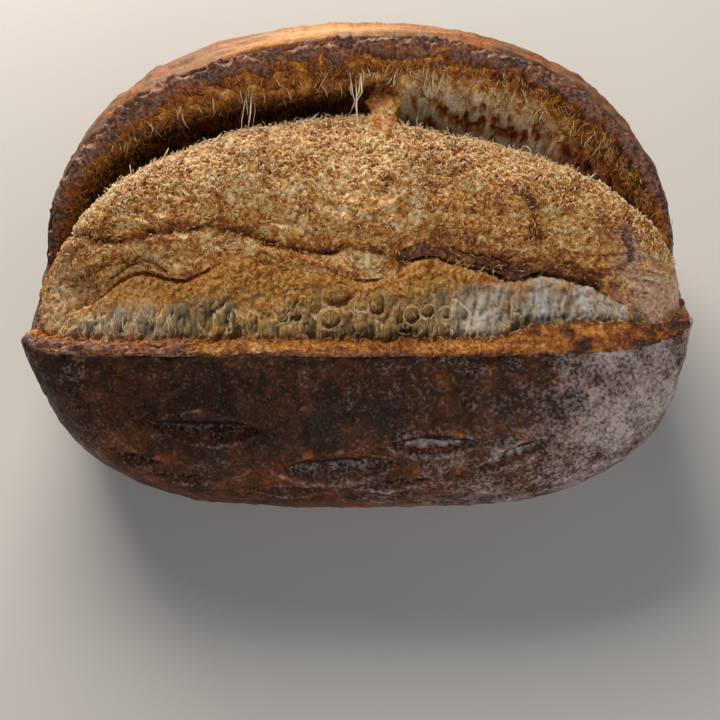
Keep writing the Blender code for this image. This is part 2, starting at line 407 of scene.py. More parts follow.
def belt_line(angle):
    """The widest line of the loaf."""
    front, back = ring_weights(angle)
    power = np.where(np.sin(angle) > 0, BELT_POWER_BACK, BELT_POWER_FRONT)
    x = HALF_LENGTH * signed_power(np.cos(angle), power)
    y = HALF_WIDTH * signed_power(np.sin(angle), power)
    y = np.where(y > 0, y * (1 - BACK_TAPER * right_share(x)), y)
    z = BELT_HEIGHT_END + (BELT_HEIGHT_FRONT - BELT_HEIGHT_END) * front
    z = z + (BELT_HEIGHT_BACK - BELT_HEIGHT_END) * back
    return np.column_stack([x, y, z])


def edge_line(angle):
    """The edge of the crust: the lip in front and the ear behind."""
    s = np.sin(angle)
    is_back = s > 0
    lip_power = np.where(np.cos(angle) < 0, LIP_POWER_LEFT, LIP_POWER)
    power = np.where(is_back, EAR_POWER, lip_power)
    reach = np.where(is_back, EAR_REACH, LIP_REACH)
    x_share, y_share = signed_power(np.cos(angle), power), signed_power(s, power)
    ear_z = mix(END_HEIGHT, EAR_HEIGHT, np.abs(y_share) ** EAR_SLOPE_POWER)
    lip_z = mix(END_HEIGHT, LIP_HEIGHT, np.maximum(1 - x_share**8, 0) ** 0.5)
    turn = np.minimum(-angle, math.pi + angle)
    tip = np.where(angle > 0, 0, np.exp(-(((turn - TIP_ANGLE) / TIP_SPREAD) ** 2)))
    x = (EDGE_HALF_LENGTH + TIP_FLARE * tip) * x_share
    y = reach * y_share - np.where(is_back, EAR_DIP * hill(x, -0.035, 0.050), 0)
    return np.column_stack([x, y, np.where(is_back, ear_z, lip_z) + TIP_RISE * tip])


def up(height):
    """A step upwards by a height, or by one for each point."""
    height = np.asarray(height, float)
    return np.stack([height * 0, height * 0, height], axis=-1)


def outer_lines(angle, base_steps, side_steps):
    """Lines round the crust's outer side, from the middle of the base out and up to the edge."""
    back = ring_weights(angle)[1][:, None]
    belt, edge = belt_line(angle), edge_line(angle)
    base = belt * BASE_SHARE * LEVEL
    lines = [base * share for share in (0.35, 0.7, 0.9)]
    for k in range(base_steps):
        turn = math.radians(90) * k / (base_steps - 1)
        line = mix(base, belt, math.sin(turn) ** 0.9)
        line[:, 2] = belt[:, 2] * (1 - math.cos(turn))
        lines.append(line)
    last = mix(UPPER_TURN_FRONT, UPPER_TURN_BACK, back)
    for k in range(1, side_steps + 1):
        turn = last * k / side_steps
        line = mix(belt, edge, (1 - np.cos(turn)) / (1 - np.cos(last)))
        line[:, 2] = mix(belt[:, 2], edge[:, 2], (np.sin(turn) / np.sin(last))[:, 0])
        lines.append(line)
    return lines


def inward_of(edge):
    """The level direction from each point of the edge to the loaf's spine, and the spine's point."""
    spine = np.column_stack([np.clip(edge[:, 0], -SPINE, SPINE), edge[:, 1] * 0, edge[:, 1] * 0])
    inward = (spine - edge) * LEVEL
    return inward / np.linalg.norm(inward, axis=1)[:, None], spine


def tongue_reach(x):
    """How far the ridge hangs forwards at x, beyond its even line."""
    return sum(reach * hill(x, place, width) for place, reach, width in TONGUES)


def ridge_outline(x):
    """The front of the bloom as (y, z) for each x: up the crumb, out under the torn ridge and over it."""
    z = RIDGE[1]
    y = RIDGE[0] - tongue_reach(x)
    still = x * 0
    foot_y, foot_z = FOOT
    roll_y, roll_z = RIDGE_ROLL
    return [
        (still + foot_y, foot_z - FOOT_DEPTH),
        (still + foot_y + 0.001, foot_z),
        (still + mix(foot_y, RIDGE[0], 0.30), mix(foot_z, z, 0.18)),
        (still + mix(foot_y, RIDGE[0], 0.55), mix(foot_z, z, 0.36)),
        (mix(foot_y, y, 0.80), mix(foot_z, z, 0.54)),
        (y + RIDGE_OVERHANG * 0.8, mix(foot_z, z, 0.72)),
        (y - RIDGE_OVERHANG * 0.4, mix(foot_z, z, 0.88)),
        (y - RIDGE_OVERHANG * 0.6, z),
        (y + 0.3 * roll_y, z + 0.65 * roll_z),
        (y + roll_y, z + roll_z),
    ]


def plain_outline(count):
    """The front of the bloom where the ridge has run out: one even swell."""
    part = np.arange(count) / (count - 1)
    y = mix(FOOT[0], RIDGE[0] + RIDGE_ROLL[0], 1 - np.cos(part * math.pi / 2))
    z = mix(FOOT[1] - FOOT_DEPTH, RIDGE[1] + 1.5 * RIDGE_ROLL[1], part**0.9)
    return list(zip(y, z))


def bloom_outlines(x):
    """Closed outlines across the bloom, one for each x, as an array of points by outlines by (x, y, z)."""
    share = np.abs(x) / BLOOM_HALF_LENGTH
    low, tall, deep = rounded(share, 10), rounded(share, 2.5), rounded(share, 1.8)
    fold = 1 / (1 + np.exp((np.abs(x) - RIDGE_HALF_LENGTH) / RIDGE_FADE))
    back_y, back_z = BACK[0] - BACK_SKEW * right_share(x), BACK[1]
    gap_floor = GAP_FLOOR + GAP_RISE * right_share(x)

    def at(y, z, y_part, z_part):
        return np.column_stack([x, mix(BLOOM_END[0], y, y_part), mix(BLOOM_END[1], z, z_part)])

    outline = [at(0.0, UNDER, deep, low), at(FOOT[0] + 0.006, UNDER, low, low)]
    front = ridge_outline(x)
    plain = plain_outline(len(front))
    for k, (torn, swollen) in enumerate(zip(front, plain)):
        part = k / (len(front) - 1)
        y, z = mix(swollen[0], torn[0], fold), mix(swollen[1], torn[1], fold)
        outline.append(at(y, z, mix(low, tall, 0.7 * part), mix(low, tall, min(2 * part, 1))))
    start_y, start_z = mix(plain[-1][0], front[-1][0], fold), front[-1][1]
    for k in range(1, 9):
        part = k / 8
        rise = math.sin(math.pi * (part * 0.60 + 0.02)) ** 0.8
        y = mix(start_y, back_y - 0.004, part)
        z = mix(start_z, CROWN_HEIGHT, rise) - CROWN_DROP * part**3
        outline.append(at(y, z, mix(mix(low, tall, 0.7), deep, part), tall))
    outline += [
        at(back_y, back_z, deep, tall),
        at(back_y + 0.0010, mix(back_z, gap_floor, 0.5), deep, tall),
        at(back_y + 0.0040, gap_floor, deep, tall),
        at(back_y + 0.0080, gap_floor - 0.008, deep, tall),
        at(back_y - 0.006, UNDER, deep, low),
    ]
    return np.array(outline)


def evenly_along(grid, rows):
    """Curves from pole to pole, each with its points evenly spaced along it."""
    even = []
    for column in range(grid.shape[1]):
        line = grid[:, column]
        reach = np.concatenate([[0], np.cumsum(np.linalg.norm(np.diff(line, axis=0), axis=1))])
        wanted = np.linspace(0, reach[-1], rows + 2)[1:-1]
        even.append(np.column_stack([np.interp(wanted, reach, line[:, k]) for k in range(3)]))
    return np.array(even).transpose(1, 0, 2)


# Materials


def linear(hex_colour):
    """An sRGB hex colour as linear red, green, blue and a full alpha."""
    parts = [int(hex_colour[k : k + 2], 16) / 255 for k in (1, 3, 5)]
    return [p / 12.92 if p <= 0.04045 else ((p + 0.055) / 1.055) ** 2.4 for p in parts] + [1.0]


def add_node(tree, kind, inputs=None, stops=None, **settings):
    """Adds a node. An input given as a socket is linked, and any other is set; stops are a ramp's colours."""
    made = tree.nodes.new(kind)
    for name, value in settings.items():
        setattr(made, name, value)
    for name, value in (inputs or {}).items():
        if isinstance(value, bpy.types.NodeSocket):
            tree.links.new(value, made.inputs[name])
        else:
            made.inputs[name].default_value = value
    if stops:
        elements = made.color_ramp.elements
        while len(elements) < len(stops):
            elements.new(0.5)
        for element, (place, colour) in zip(elements, stops):
            element.position = place
            element.color = linear(colour)
    return made


def new_material(name, roughness, specular):
    material = bpy.data.materials.new(name)
    material.use_nodes = True
    tree = material.node_tree
    shader = tree.nodes["Principled BSDF"]
    shader.inputs["Roughness"].default_value = roughness
    shader.inputs["Specular IOR Level"].default_value = specular
    return material, tree, shader


# Specks of flour and of crumb are too fine for the picture, so they are drawn this coarse
SPECK_MM = 1.2
CRUMB_SPECK_MM = 1.25

# How far the noise bends the outlines of flakes, and how much of the grain each flake's own shade is
FLAKE_BEND_MM = 1.6
FLAKE_SHARE = 0.22

# Dough as it browns, from pale and unbaked to the darkest edges
BROWNING = (
    (0.00, "#fdeabf"),
    (0.14, "#ecbd6b"),
    (0.28, "#d48e33"),
    (0.42, "#ad611f"),
    (0.56, "#7a401c"),
    (0.70, "#4b2c18"),
    (0.84, "#2f1d13"),
    (1.00, "#1a100c"),
)
# Grey-mauve flour, which on the right of the crust's front also stands in for painted sheen
FLOUR = "#c2b3b0"

# Skin that stayed pale because the heat reached it late; along the bloom's outline it also stands in for
# painted rim light
STRAW = "#e3d2a4"

# Crumb from its hollows, darkened with painted shade, to its pale thin webs, and crumb that the oven browned
WEBS = ((0.0, "#75694e"), (0.25, "#a58d5f"), (0.48, "#deab5c"), (0.72, "#ffe2a6"), (1.0, "#fffbee"))
BROWNED_CRUMB = ((0.30, "#96501c"), (0.45, "#cf842e"), (0.55, "#efb65c"), (0.68, "#ffe6ac"))
PALE_CRUMB = "#f4efe8"


def add_grain(tree, place, grain_mm, curl, flake_mm=0):
    """Fine noise, mixed where flake_mm is given with flakes that each have their own shade."""
    noise = add_node(
        tree,
        "ShaderNodeTexNoise",
        {"Vector": place, "Scale": 1000 / grain_mm, "Detail": 3.0, "Roughness": 0.65, "Distortion": curl},
    )
    grain = noise.outputs["Fac"]
    if flake_mm:
        bent = add_node(
            tree,
            "ShaderNodeVectorMath",
            {0: noise.outputs["Color"], 1: (FLAKE_BEND_MM * MM,) * 3, 2: place},
            operation="MULTIPLY_ADD",
        ).outputs[0]
        flakes = add_node(tree, "ShaderNodeTexVoronoi", {"Vector": bent, "Scale": 1000 / flake_mm})
        shade = add_node(tree, "ShaderNodeSeparateColor", {0: flakes.outputs["Color"]}).outputs[0]
        mixed = add_node(tree, "ShaderNodeMix", {0: FLAKE_SHARE, 2: grain, 3: shade}, data_type="FLOAT")
        grain = mixed.outputs[0]
    return grain


def vary(tree, value, grain, swing):
    """A value that the grain moves up and down."""
    centred = add_node(tree, "ShaderNodeMath", {0: grain, 1: 0.5}, operation="SUBTRACT").outputs[0]
    varied = add_node(tree, "ShaderNodeMath", {0: centred, 1: swing, 2: value}, operation="MULTIPLY_ADD")
    return varied.outputs[0]


def add_dusting(tree, place, dust, dusted):
    """How much flour covers each place: where there is more, more specks show, and they are thicker."""
    specks = add_node(
        tree,
        "ShaderNodeTexNoise",
        {"Vector": place, "Scale": 1000 / SPECK_MM, "Detail": 2.0, "Roughness": 0.6},
    ).outputs["Fac"]
    thick = add_node(
        tree, "ShaderNodeMath", {0: dust, 1: 1.2, 2: 0.28}, operation="MULTIPLY_ADD", use_clamp=True
    ).outputs[0]
    over = add_node(tree, "ShaderNodeMath", {0: dust, 1: 0.55, 2: specks}, operation="MULTIPLY_ADD")
    speckled = add_node(
        tree,
        "ShaderNodeMapRange",
        {"Value": over.outputs[0], "From Min": 0.56, "From Max": 0.92, "To Min": 0.0, "To Max": dusted},
        clamp=True,
    ).outputs[0]
    return add_node(tree, "ShaderNodeMath", {0: speckled, 1: thick}, operation="MULTIPLY").outputs[0]


def colour_surface(tree, shader, colour, grain, bump_mm):
    """Gives the surface its colour, and bumps that follow the grain."""
    tree.links.new(colour, shader.inputs["Base Color"])
    bump = add_node(tree, "ShaderNodeBump", {"Height": grain, "Strength": 1.0, "Distance": bump_mm * MM})
    tree.links.new(bump.outputs[0], shader.inputs["Normal"])


def make_baked_material(
    name, grain_mm, swing, bump_mm, roughness, specular, flour=FLOUR, dusted=0.8, curl=0.0, flake_mm=0
):
    """Baked dough: each point's own browning, varied by a grain and flakes, with specks of flour over it."""
    material, tree, shader = new_material(name, roughness, specular)
    place = add_node(tree, "ShaderNodeTexCoord").outputs["Object"]
    bake, dust, straw = (
        add_node(tree, "ShaderNodeAttribute", attribute_name=kept).outputs["Fac"]
        for kept in ("bake", "flour", "straw")
    )
    grain = add_grain(tree, place, grain_mm, curl, flake_mm)
    browning = vary(tree, bake, grain, swing)
    browned = add_node(tree, "ShaderNodeValToRGB", {"Fac": browning}, stops=BROWNING).outputs["Color"]
    skin = add_node(tree, "ShaderNodeMix", {0: straw, 6: browned, 7: linear(STRAW)}, data_type="RGBA")
    colour = add_node(
        tree,
        "ShaderNodeMix",
        {0: add_dusting(tree, place, dust, dusted), 6: skin.outputs[2], 7: linear(flour)},
        data_type="RGBA",
    )
    colour_surface(tree, shader, colour.outputs[2], grain, bump_mm)
    return material


def make_crumb_material():
    """Open crumb: matt, grey-gold in its hollows, darkened there with painted shade, and pale along the thin
    webs between them.
    """
    material, tree, shader = new_material("open_crumb", 0.6, 0.35)
    place = add_node(tree, "ShaderNodeTexCoord").outputs["Object"]
    web, bake, pale = (
        add_node(tree, "ShaderNodeAttribute", attribute_name=kept).outputs["Fac"]
        for kept in ("web", "bake", "flour")
    )
    grain = add_grain(tree, place, CRUMB_SPECK_MM, curl=0.8)
    webbed = vary(tree, web, grain, 0.45)
    crumb = add_node(tree, "ShaderNodeValToRGB", {"Fac": webbed}, stops=WEBS).outputs["Color"]
    browned = add_node(tree, "ShaderNodeValToRGB", {"Fac": grain}, stops=BROWNED_CRUMB).outputs["Color"]
    mixed = add_node(tree, "ShaderNodeMix", {0: bake, 6: crumb, 7: browned}, data_type="RGBA")
    colour = add_node(
        tree, "ShaderNodeMix", {0: pale, 6: mixed.outputs[2], 7: linear(PALE_CRUMB)}, data_type="RGBA"
    )
    colour_surface(tree, shader, colour.outputs[2], grain, bump_mm=0.35)
    return material


def make_fibre_material(name):
    """Dough drawn out into threads: glossy when baked, so that they catch the light."""
    return make_baked_material(name, grain_mm=3.0, swing=0.3, bump_mm=0.05, roughness=0.34, specular=0.6)


# Fibres


def make_fibre_shape():
    """The points and faces of one fibre: a thin three-sided rod along Z, cut into three lengths."""
    bpy.ops.object.select_all(action="DESELECT")
    bpy.ops.mesh.primitive_cylinder_add(vertices=3, radius=1, depth=1)
    rod = bpy.context.object
    bpy.ops.object.mode_set(mode="EDIT")
    for height in (-0.2, 0.2):
        bpy.ops.mesh.select_all(action="SELECT")
        bpy.ops.mesh.bisect(plane_co=(0, 0, height), plane_no=(0, 0, 1))
    bpy.ops.object.mode_set(mode="OBJECT")
    mesh = rod.data
    shape = points_of(rod), [list(face.vertices) for face in mesh.polygons]
    bpy.data.objects.remove(rod)
    bpy.data.meshes.remove(mesh)
    return shape


FIBRE_POINTS, FIBRE_FACES = make_fibre_shape()

# How far the ends of a fibre are sunk into the surface that it lies on
SUNK = 0.0003


def lay_on(places, normals, ways, lengths, heights, curls):
    """Starts, ends and arches of fibres that lie on a surface, with their ends just under it."""
    ways = ways - normals * (ways * normals).sum(axis=1)[:, None]
    ways /= np.linalg.norm(ways, axis=1)[:, None]
    half = ways * lengths[:, None] / 2
    sunk = places - normals * SUNK
    arches = normals * (heights + SUNK)[:, None] + np.cross(normals, ways) * curls[:, None]
    return sunk - half, sunk + half, arches


def lay_fibres(name, lines, widths, values, material):
    """Copies of one fibre in one piece: lines are their starts, their ends and their arches aside."""
    starts, ends, arches = lines
    count, size = len(starts), len(FIBRE_POINTS)
    ways = ends - starts
    ways /= np.linalg.norm(ways, axis=1)[:, None]
    # The small step keeps a fibre with no arch from having no sides
    sides = np.cross(ways, arches + (1e-6, 2e-6, 3e-6))
    sides /= np.linalg.norm(sides, axis=1)[:, None]
    ups = np.cross(sides, ways)
    across, deep, along = (part[None, :, None] for part in FIBRE_POINTS.T)
    spine = mix(starts[:, None], ends[:, None], along + 0.5) + (1 - 4 * along**2) * arches[:, None]
    thin = (1 - 2.6 * along**2) * widths[:, None, None]
    points = (spine + thin * (across * sides[:, None] + deep * ups[:, None])).reshape(-1, 3)
    faces = [[size * k + index for index in face] for k in range(count) for face in FIBRE_FACES]
    mesh = bpy.data.meshes.new(name)
    mesh.from_pydata(points.tolist(), [], faces)
    piece = bpy.data.objects.new(name, mesh)
    bpy.context.scene.collection.objects.link(piece)
    keep_values(piece, "bake", np.repeat(np.clip(values, 0, 1), size))
    keep_values(piece, "flour", np.zeros(count * size))
    face_outwards(piece)
    finish_piece(piece, material)


# The crust

# How far the parts of its relief rise
CRUST_SWELL = 0.0009
CRUST_LUMP = 0.0004
CRUST_STREAK = 0.0010
CRUST_GRAIN = 0.00016
CUT_EDGE_SWELL = 0.0008
BLISTER_HEIGHT = 0.00045
BLISTER_SPACING = 0.0050

# The crust is a ball whose rows run from the middle of the base, up to its edge and down inside
CRUST_COLUMNS = 140
CRUST_EDGE_ROW = 36
HIDDEN_FLOOR = 0.032


def leaf_cuts(points):
    """For each point: depth of the leaf cuts, the place across them from -1 to 1, and the flour in them."""
    depth, across_cut = np.zeros(len(points)), np.full(len(points), 9.0)
    flour = np.zeros(len(points))
    ragged = rough(points, 0.0045, 45, octaves=3)
    for centre, length, width, rise, dusted in LEAVES:
        away = points - np.array(centre)
        along = away[:, 0] * math.cos(rise) + away[:, 2] * math.sin(rise)
        across = away[:, 2] * math.cos(rise) - away[:, 0] * math.sin(rise)
        across = across * 1.1 + 0.02 * length * np.cos(along / length * math.pi) + 0.0005 * ragged
        half = width / 2 * np.clip(1 - (2 * along / length) ** 2, 0.0001, 1) ** 0.8
        side = across / half
        near = (np.abs(along) < length / 2) & (points[:, 1] < -0.05)
        # The cut slopes in from its lower edge and stands steep under its upper edge
        profile = smooth_step(-1.15, 0.5, side) * (1 - smooth_step(0.45, 1.05, side))
        size = np.clip(half / (width / 2), 0, 1) ** 0.6
        deeper = near & (LEAF_DEPTH * profile * size > depth)
        depth = np.where(deeper, LEAF_DEPTH * profile * size, depth)
        across_cut = np.where(near & (np.abs(side) < np.abs(across_cut)), side, across_cut)
        flour = np.where(deeper, dusted * size, flour)
    return depth, across_cut, flour


def find_blisters(points):
    """1 in the middle of each small blister of the crust, and 0 between them."""
    x, y, z = points.T
    sheet = np.column_stack([x, z + y * 0.6])
    first, _second, number = scattered_cells(sheet / BLISTER_SPACING, 41)
    return np.clip(1 - first / 0.40, 0, 1) ** 0.6 * (number > 0.62)


def crust_grid():
    """Lines round the crust's outer side, over its edge and down inside, as rows of points."""
    angle = angles_round(CURVE_POINTS)
    edge, belt = edge_line(angle), belt_line(angle)
    inward, spine = inward_of(edge)
    hidden = edge[:, 2] * 0 + HIDDEN_FLOOR
    lines = outer_lines(angle, 9, 24) + [
        edge + inward * 0.0012 + up(0.0005),
        edge + inward * 0.0028 - up(0.0008),
        mix(edge, belt, 0.10) * LEVEL + up(mix(edge[:, 2], 0.034, 0.35)),
        mix(edge, belt, 0.10) * LEVEL + up(mix(edge[:, 2], 0.034, 0.8)),
        mix(spine, edge, 0.75) * LEVEL + up(hidden),
        mix(spine, edge, 0.35) * LEVEL + up(hidden),
    ]
    return grid_of(lines, CRUST_COLUMNS)


def crust_relief(points, cut_depth, across_cut, blister):
    """How far each point of the crust rises from its smooth shape."""
    _x, y, z = points.T
    slow = rough(points, 0.034, 11, octaves=2) * CRUST_SWELL
    slow += rough(points, 0.011, 21, octaves=2) * CRUST_LUMP
    slow += smooth_step(0.0, 0.04, y) * rough(points, (0.070, 0.006, 0.006), 53, octaves=2) * CRUST_STREAK
    fine = rough(points, 0.0035, 31, octaves=2) * CRUST_GRAIN
    swollen = CUT_EDGE_SWELL * hill(np.abs(across_cut), 1.30, 0.22)
    above_base = smooth_step(0.001, 0.020, z)
    return above_base * (slow + fine - cut_depth + swollen + BLISTER_HEIGHT * blister)


def crust_baking(points, to_edge, blister):
    """How browned, how floured and how straw-pale each point of the crust is, its cuts left out."""
    x, y, z = points.T
    front = smooth_step(0.0, -0.04, y)
    behind = smooth_step(0.0, 0.04, y)
    patches = rough(points, 0.016, 51, octaves=3, gain=0.6)
    rust = rough(points, 0.0065, 56, octaves=3, gain=0.6)
    bake = 0.71 + 0.09 * patches - 0.09 * rust - 0.06 * blister
    # The front is darker below its lip, and paler towards the base
    bake += 0.10 * front * smooth_step(0.042, 0.056, z) * smooth_step(0.04, -0.02, x)
    bake -= 0.10 * smooth_step(0.03, 0.005, z) - 0.03 * front * smooth_step(0.04, 0.09, x)
    # The flap behind the ear opened late, so it is pale, with streaks along it
    flap = behind * smooth_step(0.055, 0.080, z)
    streaks = rough(points, (0.060, 0.005, 0.005), 53, octaves=3)
    yellow = hill(to_edge, 3.0, 3.0) * hill(x, -0.012, 0.034)
    bake = mix(bake, 0.55 + 0.14 * streaks - 0.22 * yellow, flap)
    straw = flap * np.clip(0.08 + 0.28 * yellow + 0.08 * streaks, 0, 0.8)
    # The ear's edge is burnt towards both ends
    ends = smooth_step(0.040, 0.060, x) + smooth_step(-0.070, -0.088, x)
    edge_reach = 2.2 + 1.4 * rough(points, 0.006, 55)
    dark_edge = behind * np.clip(ends, 0, 1) * (1 - smooth_step(0, edge_reach, np.abs(to_edge)))
    bake = mix(bake, 0.78, dark_edge)
    # Flour lies on the right of the front, in patches, and hardly any under the lip; on the right its whitish
    # look is partly painted sheen
    dusty = rough(points, 0.012, 61, octaves=3, gain=0.6)
    flour = -0.01 + 0.28 * smooth_step(-0.020, 0.095, x) + 0.10 * smooth_step(-0.04, 0.03, x)
    flour += 0.14 * smooth_step(-0.07, -0.10, x) + 0.16 * dusty + 0.16 * blister + 0.08 * rust
    flour += 0.10 * rough(points, 0.0032, 58, octaves=2)
    flour -= 0.08 * smooth_step(0.045, 0.055, z) * (1 - smooth_step(0.0, 0.07, x))
    # A pale patch high on the crust's right end is painted sheen
    painted_sheen_patch = hill(x, 0.090, 0.016) * smooth_step(0.034, 0.044, z)
    under_lip = hill(x, 0.048, 0.022) * smooth_step(0.051, 0.057, z)
    flour += 0.16 * painted_sheen_patch - 0.16 * under_lip
    bake += 0.10 * front * under_lip
    flour = mix(flour, 0.03 + 0.12 * dusty, smooth_step(-0.005, 0.045, y + 0.012 * dusty)) * (1 - flap)
    return bake, flour, straw


def bake_cuts(points, cuts, bake, flour):
    """The same browning and flour, with the leaf cuts greyish inside, painted shadow under their upper edges,
    and pale along their lower edges.
    """
    depth, across_cut, cut_flour = cuts
    on_right = right_share(points[:, 0])
    in_cut = smooth_step(0.0002, 0.0012, depth)
    ribs = rough(points, (0.0011, 0.006, 0.006), 47, octaves=2)
    middle = smooth_step(-0.45, 0.0, across_cut) * (1 - smooth_step(0.35, 0.55, across_cut))
    painted_shadow_under_edge = smooth_step(0.30, 0.60, across_cut)
    inside_bake = mix(0.86, 0.74, cut_flour) - 0.14 * (1 - middle) * (1 - painted_shadow_under_edge)
    # Painted shadow: each cut is nearly black under its upper edge
    bake = mix(bake, mix(inside_bake, 0.98, painted_shadow_under_edge), in_cut)
    dusted_cut = 0.12 + cut_flour * middle * (0.52 + 0.4 * ribs)
    flour = mix(flour, dusted_cut * (1 - painted_shadow_under_edge), in_cut)
    lower_edge = hill(across_cut, -1.15, 0.20)
    upper_edge = hill(across_cut, 1.35, 0.20)
    below = hill(across_cut, -1.9, 0.5)
    bake -= 0.06 * lower_edge + 0.07 * upper_edge + 0.06 * below * on_right
    flour += 0.26 * lower_edge + 0.10 * upper_edge - 0.10 * below * on_right
    return bake, flour


def make_crust():
    grid = crust_grid()
    crust = add_ball("crust", CRUST_COLUMNS, len(grid))
    shape_ball(crust, grid, (0, TO_THE_MIDDLE, 0), (0, TO_THE_MIDDLE, HIDDEN_FLOOR - MM))
    refine(crust, REFINED)

    points = points_of(crust)
    cuts = leaf_cuts(points)
    blister = find_blisters(points)
    to_edge = CRUST_EDGE_ROW - values_of(crust, "row")
    lift(crust, crust_relief(points, cuts[0], cuts[1], blister))
    bake, flour, straw = crust_baking(points, to_edge, blister)
    bake, flour = bake_cuts(points, cuts, bake, flour)
    keep_values(crust, "bake", np.clip(bake, 0, 1))
    keep_values(crust, "flour", np.clip(flour, 0, 1))
    keep_values(crust, "straw", straw)
    # Hard, matt crust, baked dark and dusted: it shines little, and its flour shows as grey specks
    material = make_baked_material(
        "browned_crust",
        grain_mm=1.3,
        swing=0.55,
        bump_mm=0.5,
        roughness=0.5,
        specular=0.14,
        dusted=0.9,
        flake_mm=1.4,
    )
    finish_piece(crust, material)


# The torn rim

RIM_COLUMNS = 300

# The lip is wider and higher towards its right end
WIDE_RISE = 0.0030

# How far the parts of its relief rise or sink, on the lip and on the ear's wall
LAYER_HEIGHTS = (0.0008, 0.0009)
CRAG_HEIGHTS = (0.0013, 0.0016)
HANGING_HEIGHT = 0.0006
FOLD_HEIGHT = 0.0016
PORE_DEPTH = 0.0038
PORE_SPACING = 0.0052

# Holes in the open crumb of the ear's wall: place along X, height, half width and half height
WALL_HOLES = (
    (0.0420, 0.0680, 0.0050, 0.0014),
    (0.0300, 0.0720, 0.0030, 0.0012),
    (0.0530, 0.0665, 0.0060, 0.0018),
    (0.0655, 0.0668, 0.0022, 0.0018),
    (0.0770, 0.0640, 0.0050, 0.0016),
    (0.0850, 0.0605, 0.0028, 0.0022),
    (0.0930, 0.0585, 0.0024, 0.0020),
)


def rim_grid():
    """Lines round the loaf: from the crust's edge in over the rim, down the wall and back under the crust."""
    angle = angles_round(CURVE_POINTS)
    front, back = (share[:, None] for share in ring_weights(angle))
    edge, belt = edge_line(angle), belt_line(angle)
    inward, spine = inward_of(edge)
    x = edge[:, :1]
    wide = front * smooth_step(0.042, 0.066, x) * (1 - smooth_step(0.100, 0.112, x))
    rim = edge + inward * RIM_WIDTH * (1 + 0.3 * front + 1.0 * wide)
    rim += up((RIM_SLOPE * (front - back) + WIDE_RISE * wide)[:, 0])
    depth = END_WALL + (FRONT_WALL - END_WALL) * front + (EAR_WALL - END_WALL) * back
    lean_shares, leans = zip((0, 0), *WALL_LEAN)
    wall = []
    for share in (0.10, 0.18, 0.30, 0.42, 0.55, 0.68, 0.84, 1.0):
        lean = np.interp(share, lean_shares, leans)
        step = lean * (0.4 + 0.9 * back) - EAR_CAVE * back * math.sin(math.pi * share)
        wall.append(rim + inward * step - up((depth * share)[:, 0]))
    foot = wall[-1]
    foot_z, edge_z = foot[:, 2], edge[:, 2]
    lines = [
        edge + inward * 0.0007 - up(0.0012),
        edge + inward * 0.0012 + up(0.0004),
        mix(edge, rim, 0.35) + up(RIM_CROWN),
        mix(edge, rim, 0.7) + up(RIM_CROWN),
        rim,
        *wall,
        mix(spine * 0.9, foot, 0.8) * LEVEL + up(foot_z - 0.006),
        mix(spine, foot, 0.9) * LEVEL + up(foot_z - 0.012),
        mix(edge, belt, 0.10) * LEVEL + up(foot_z - 0.006),
        mix(edge, belt, 0.12) * LEVEL + up(mix(foot_z, edge_z, 0.35)),
        mix(edge, belt, 0.06) * LEVEL + up(mix(foot_z, edge_z, 0.70)),
    ]
    return grid_of(lines, RIM_COLUMNS)


def rim_marks(points, row):
    """The masks and noises that the rim's relief and its browning share."""
    x, y, _z = points.T
    ear = smooth_step(0.0, 0.03, y)
    crags = rough(points, 0.0052, 73, octaves=3, gain=0.7)
    # The lower wall on the right of the gap is open crumb, which closes towards the end
    low_wall = smooth_step(6.2, 7.8, row + 1.6 * crags) * ear
    open_end = 1 - 0.65 * smooth_step(0.058, 0.086, x + 0.006 * crags)
    return SimpleNamespace(
        ear=ear,
        crags=crags,
        layers=rough(points, (0.018, 0.0026, 0.0022), 71, octaves=3, gain=0.65),
        hanging=rough(points, (0.0014, 0.004, 0.008), 75, octaves=2),
        low_wall=low_wall,
        open_wall=low_wall * smooth_step(0.004, 0.022, x) * open_end,
    )


def wall_pores(points, marks):
    """1 in the pores and holes of the open crumb of the ear's wall."""
    x, y, z = points.T
    plane = np.column_stack([x + 0.4 * y + 0.0014 * marks.crags, z + 0.0012 * marks.hanging])
    first, _second, number = scattered_cells(plane / PORE_SPACING, 77)
    pore = np.clip(1 - first / (0.10 + 0.42 * number), 0, 1) ** 0.5
    for place_x, place_z, half_x, half_z in WALL_HOLES:
        away = np.hypot((x - place_x) / half_x, (z - place_z + 0.3 * (x - place_x)) / half_z)
        away = away + 0.18 * marks.crags
        pore = np.maximum(pore, (1 - smooth_step(0.6, 1.0, away)) * marks.ear)
    return pore


def rim_relief(points, row, marks, pore):
    """How far each point of the rim and its wall rises from its smooth shape."""
    relief = mix(*LAYER_HEIGHTS, marks.ear) * marks.layers + mix(*CRAG_HEIGHTS, marks.ear) * marks.crags
    relief = relief + HANGING_HEIGHT * marks.ear * marks.hanging
    # A swollen fold of torn dough runs along the upper wall
    uneven = 0.6 + 0.6 * rough(points, (0.020, 0.02, 0.02), 79, octaves=2)
    fold = hill(row, 4.2, 1.4) * marks.ear * uneven
    shown = smooth_step(0.5, 1.5, row) * (1 - smooth_step(12.0, 13.0, row))
    return (relief + FOLD_HEIGHT * fold - PORE_DEPTH * pore * marks.open_wall) * shown


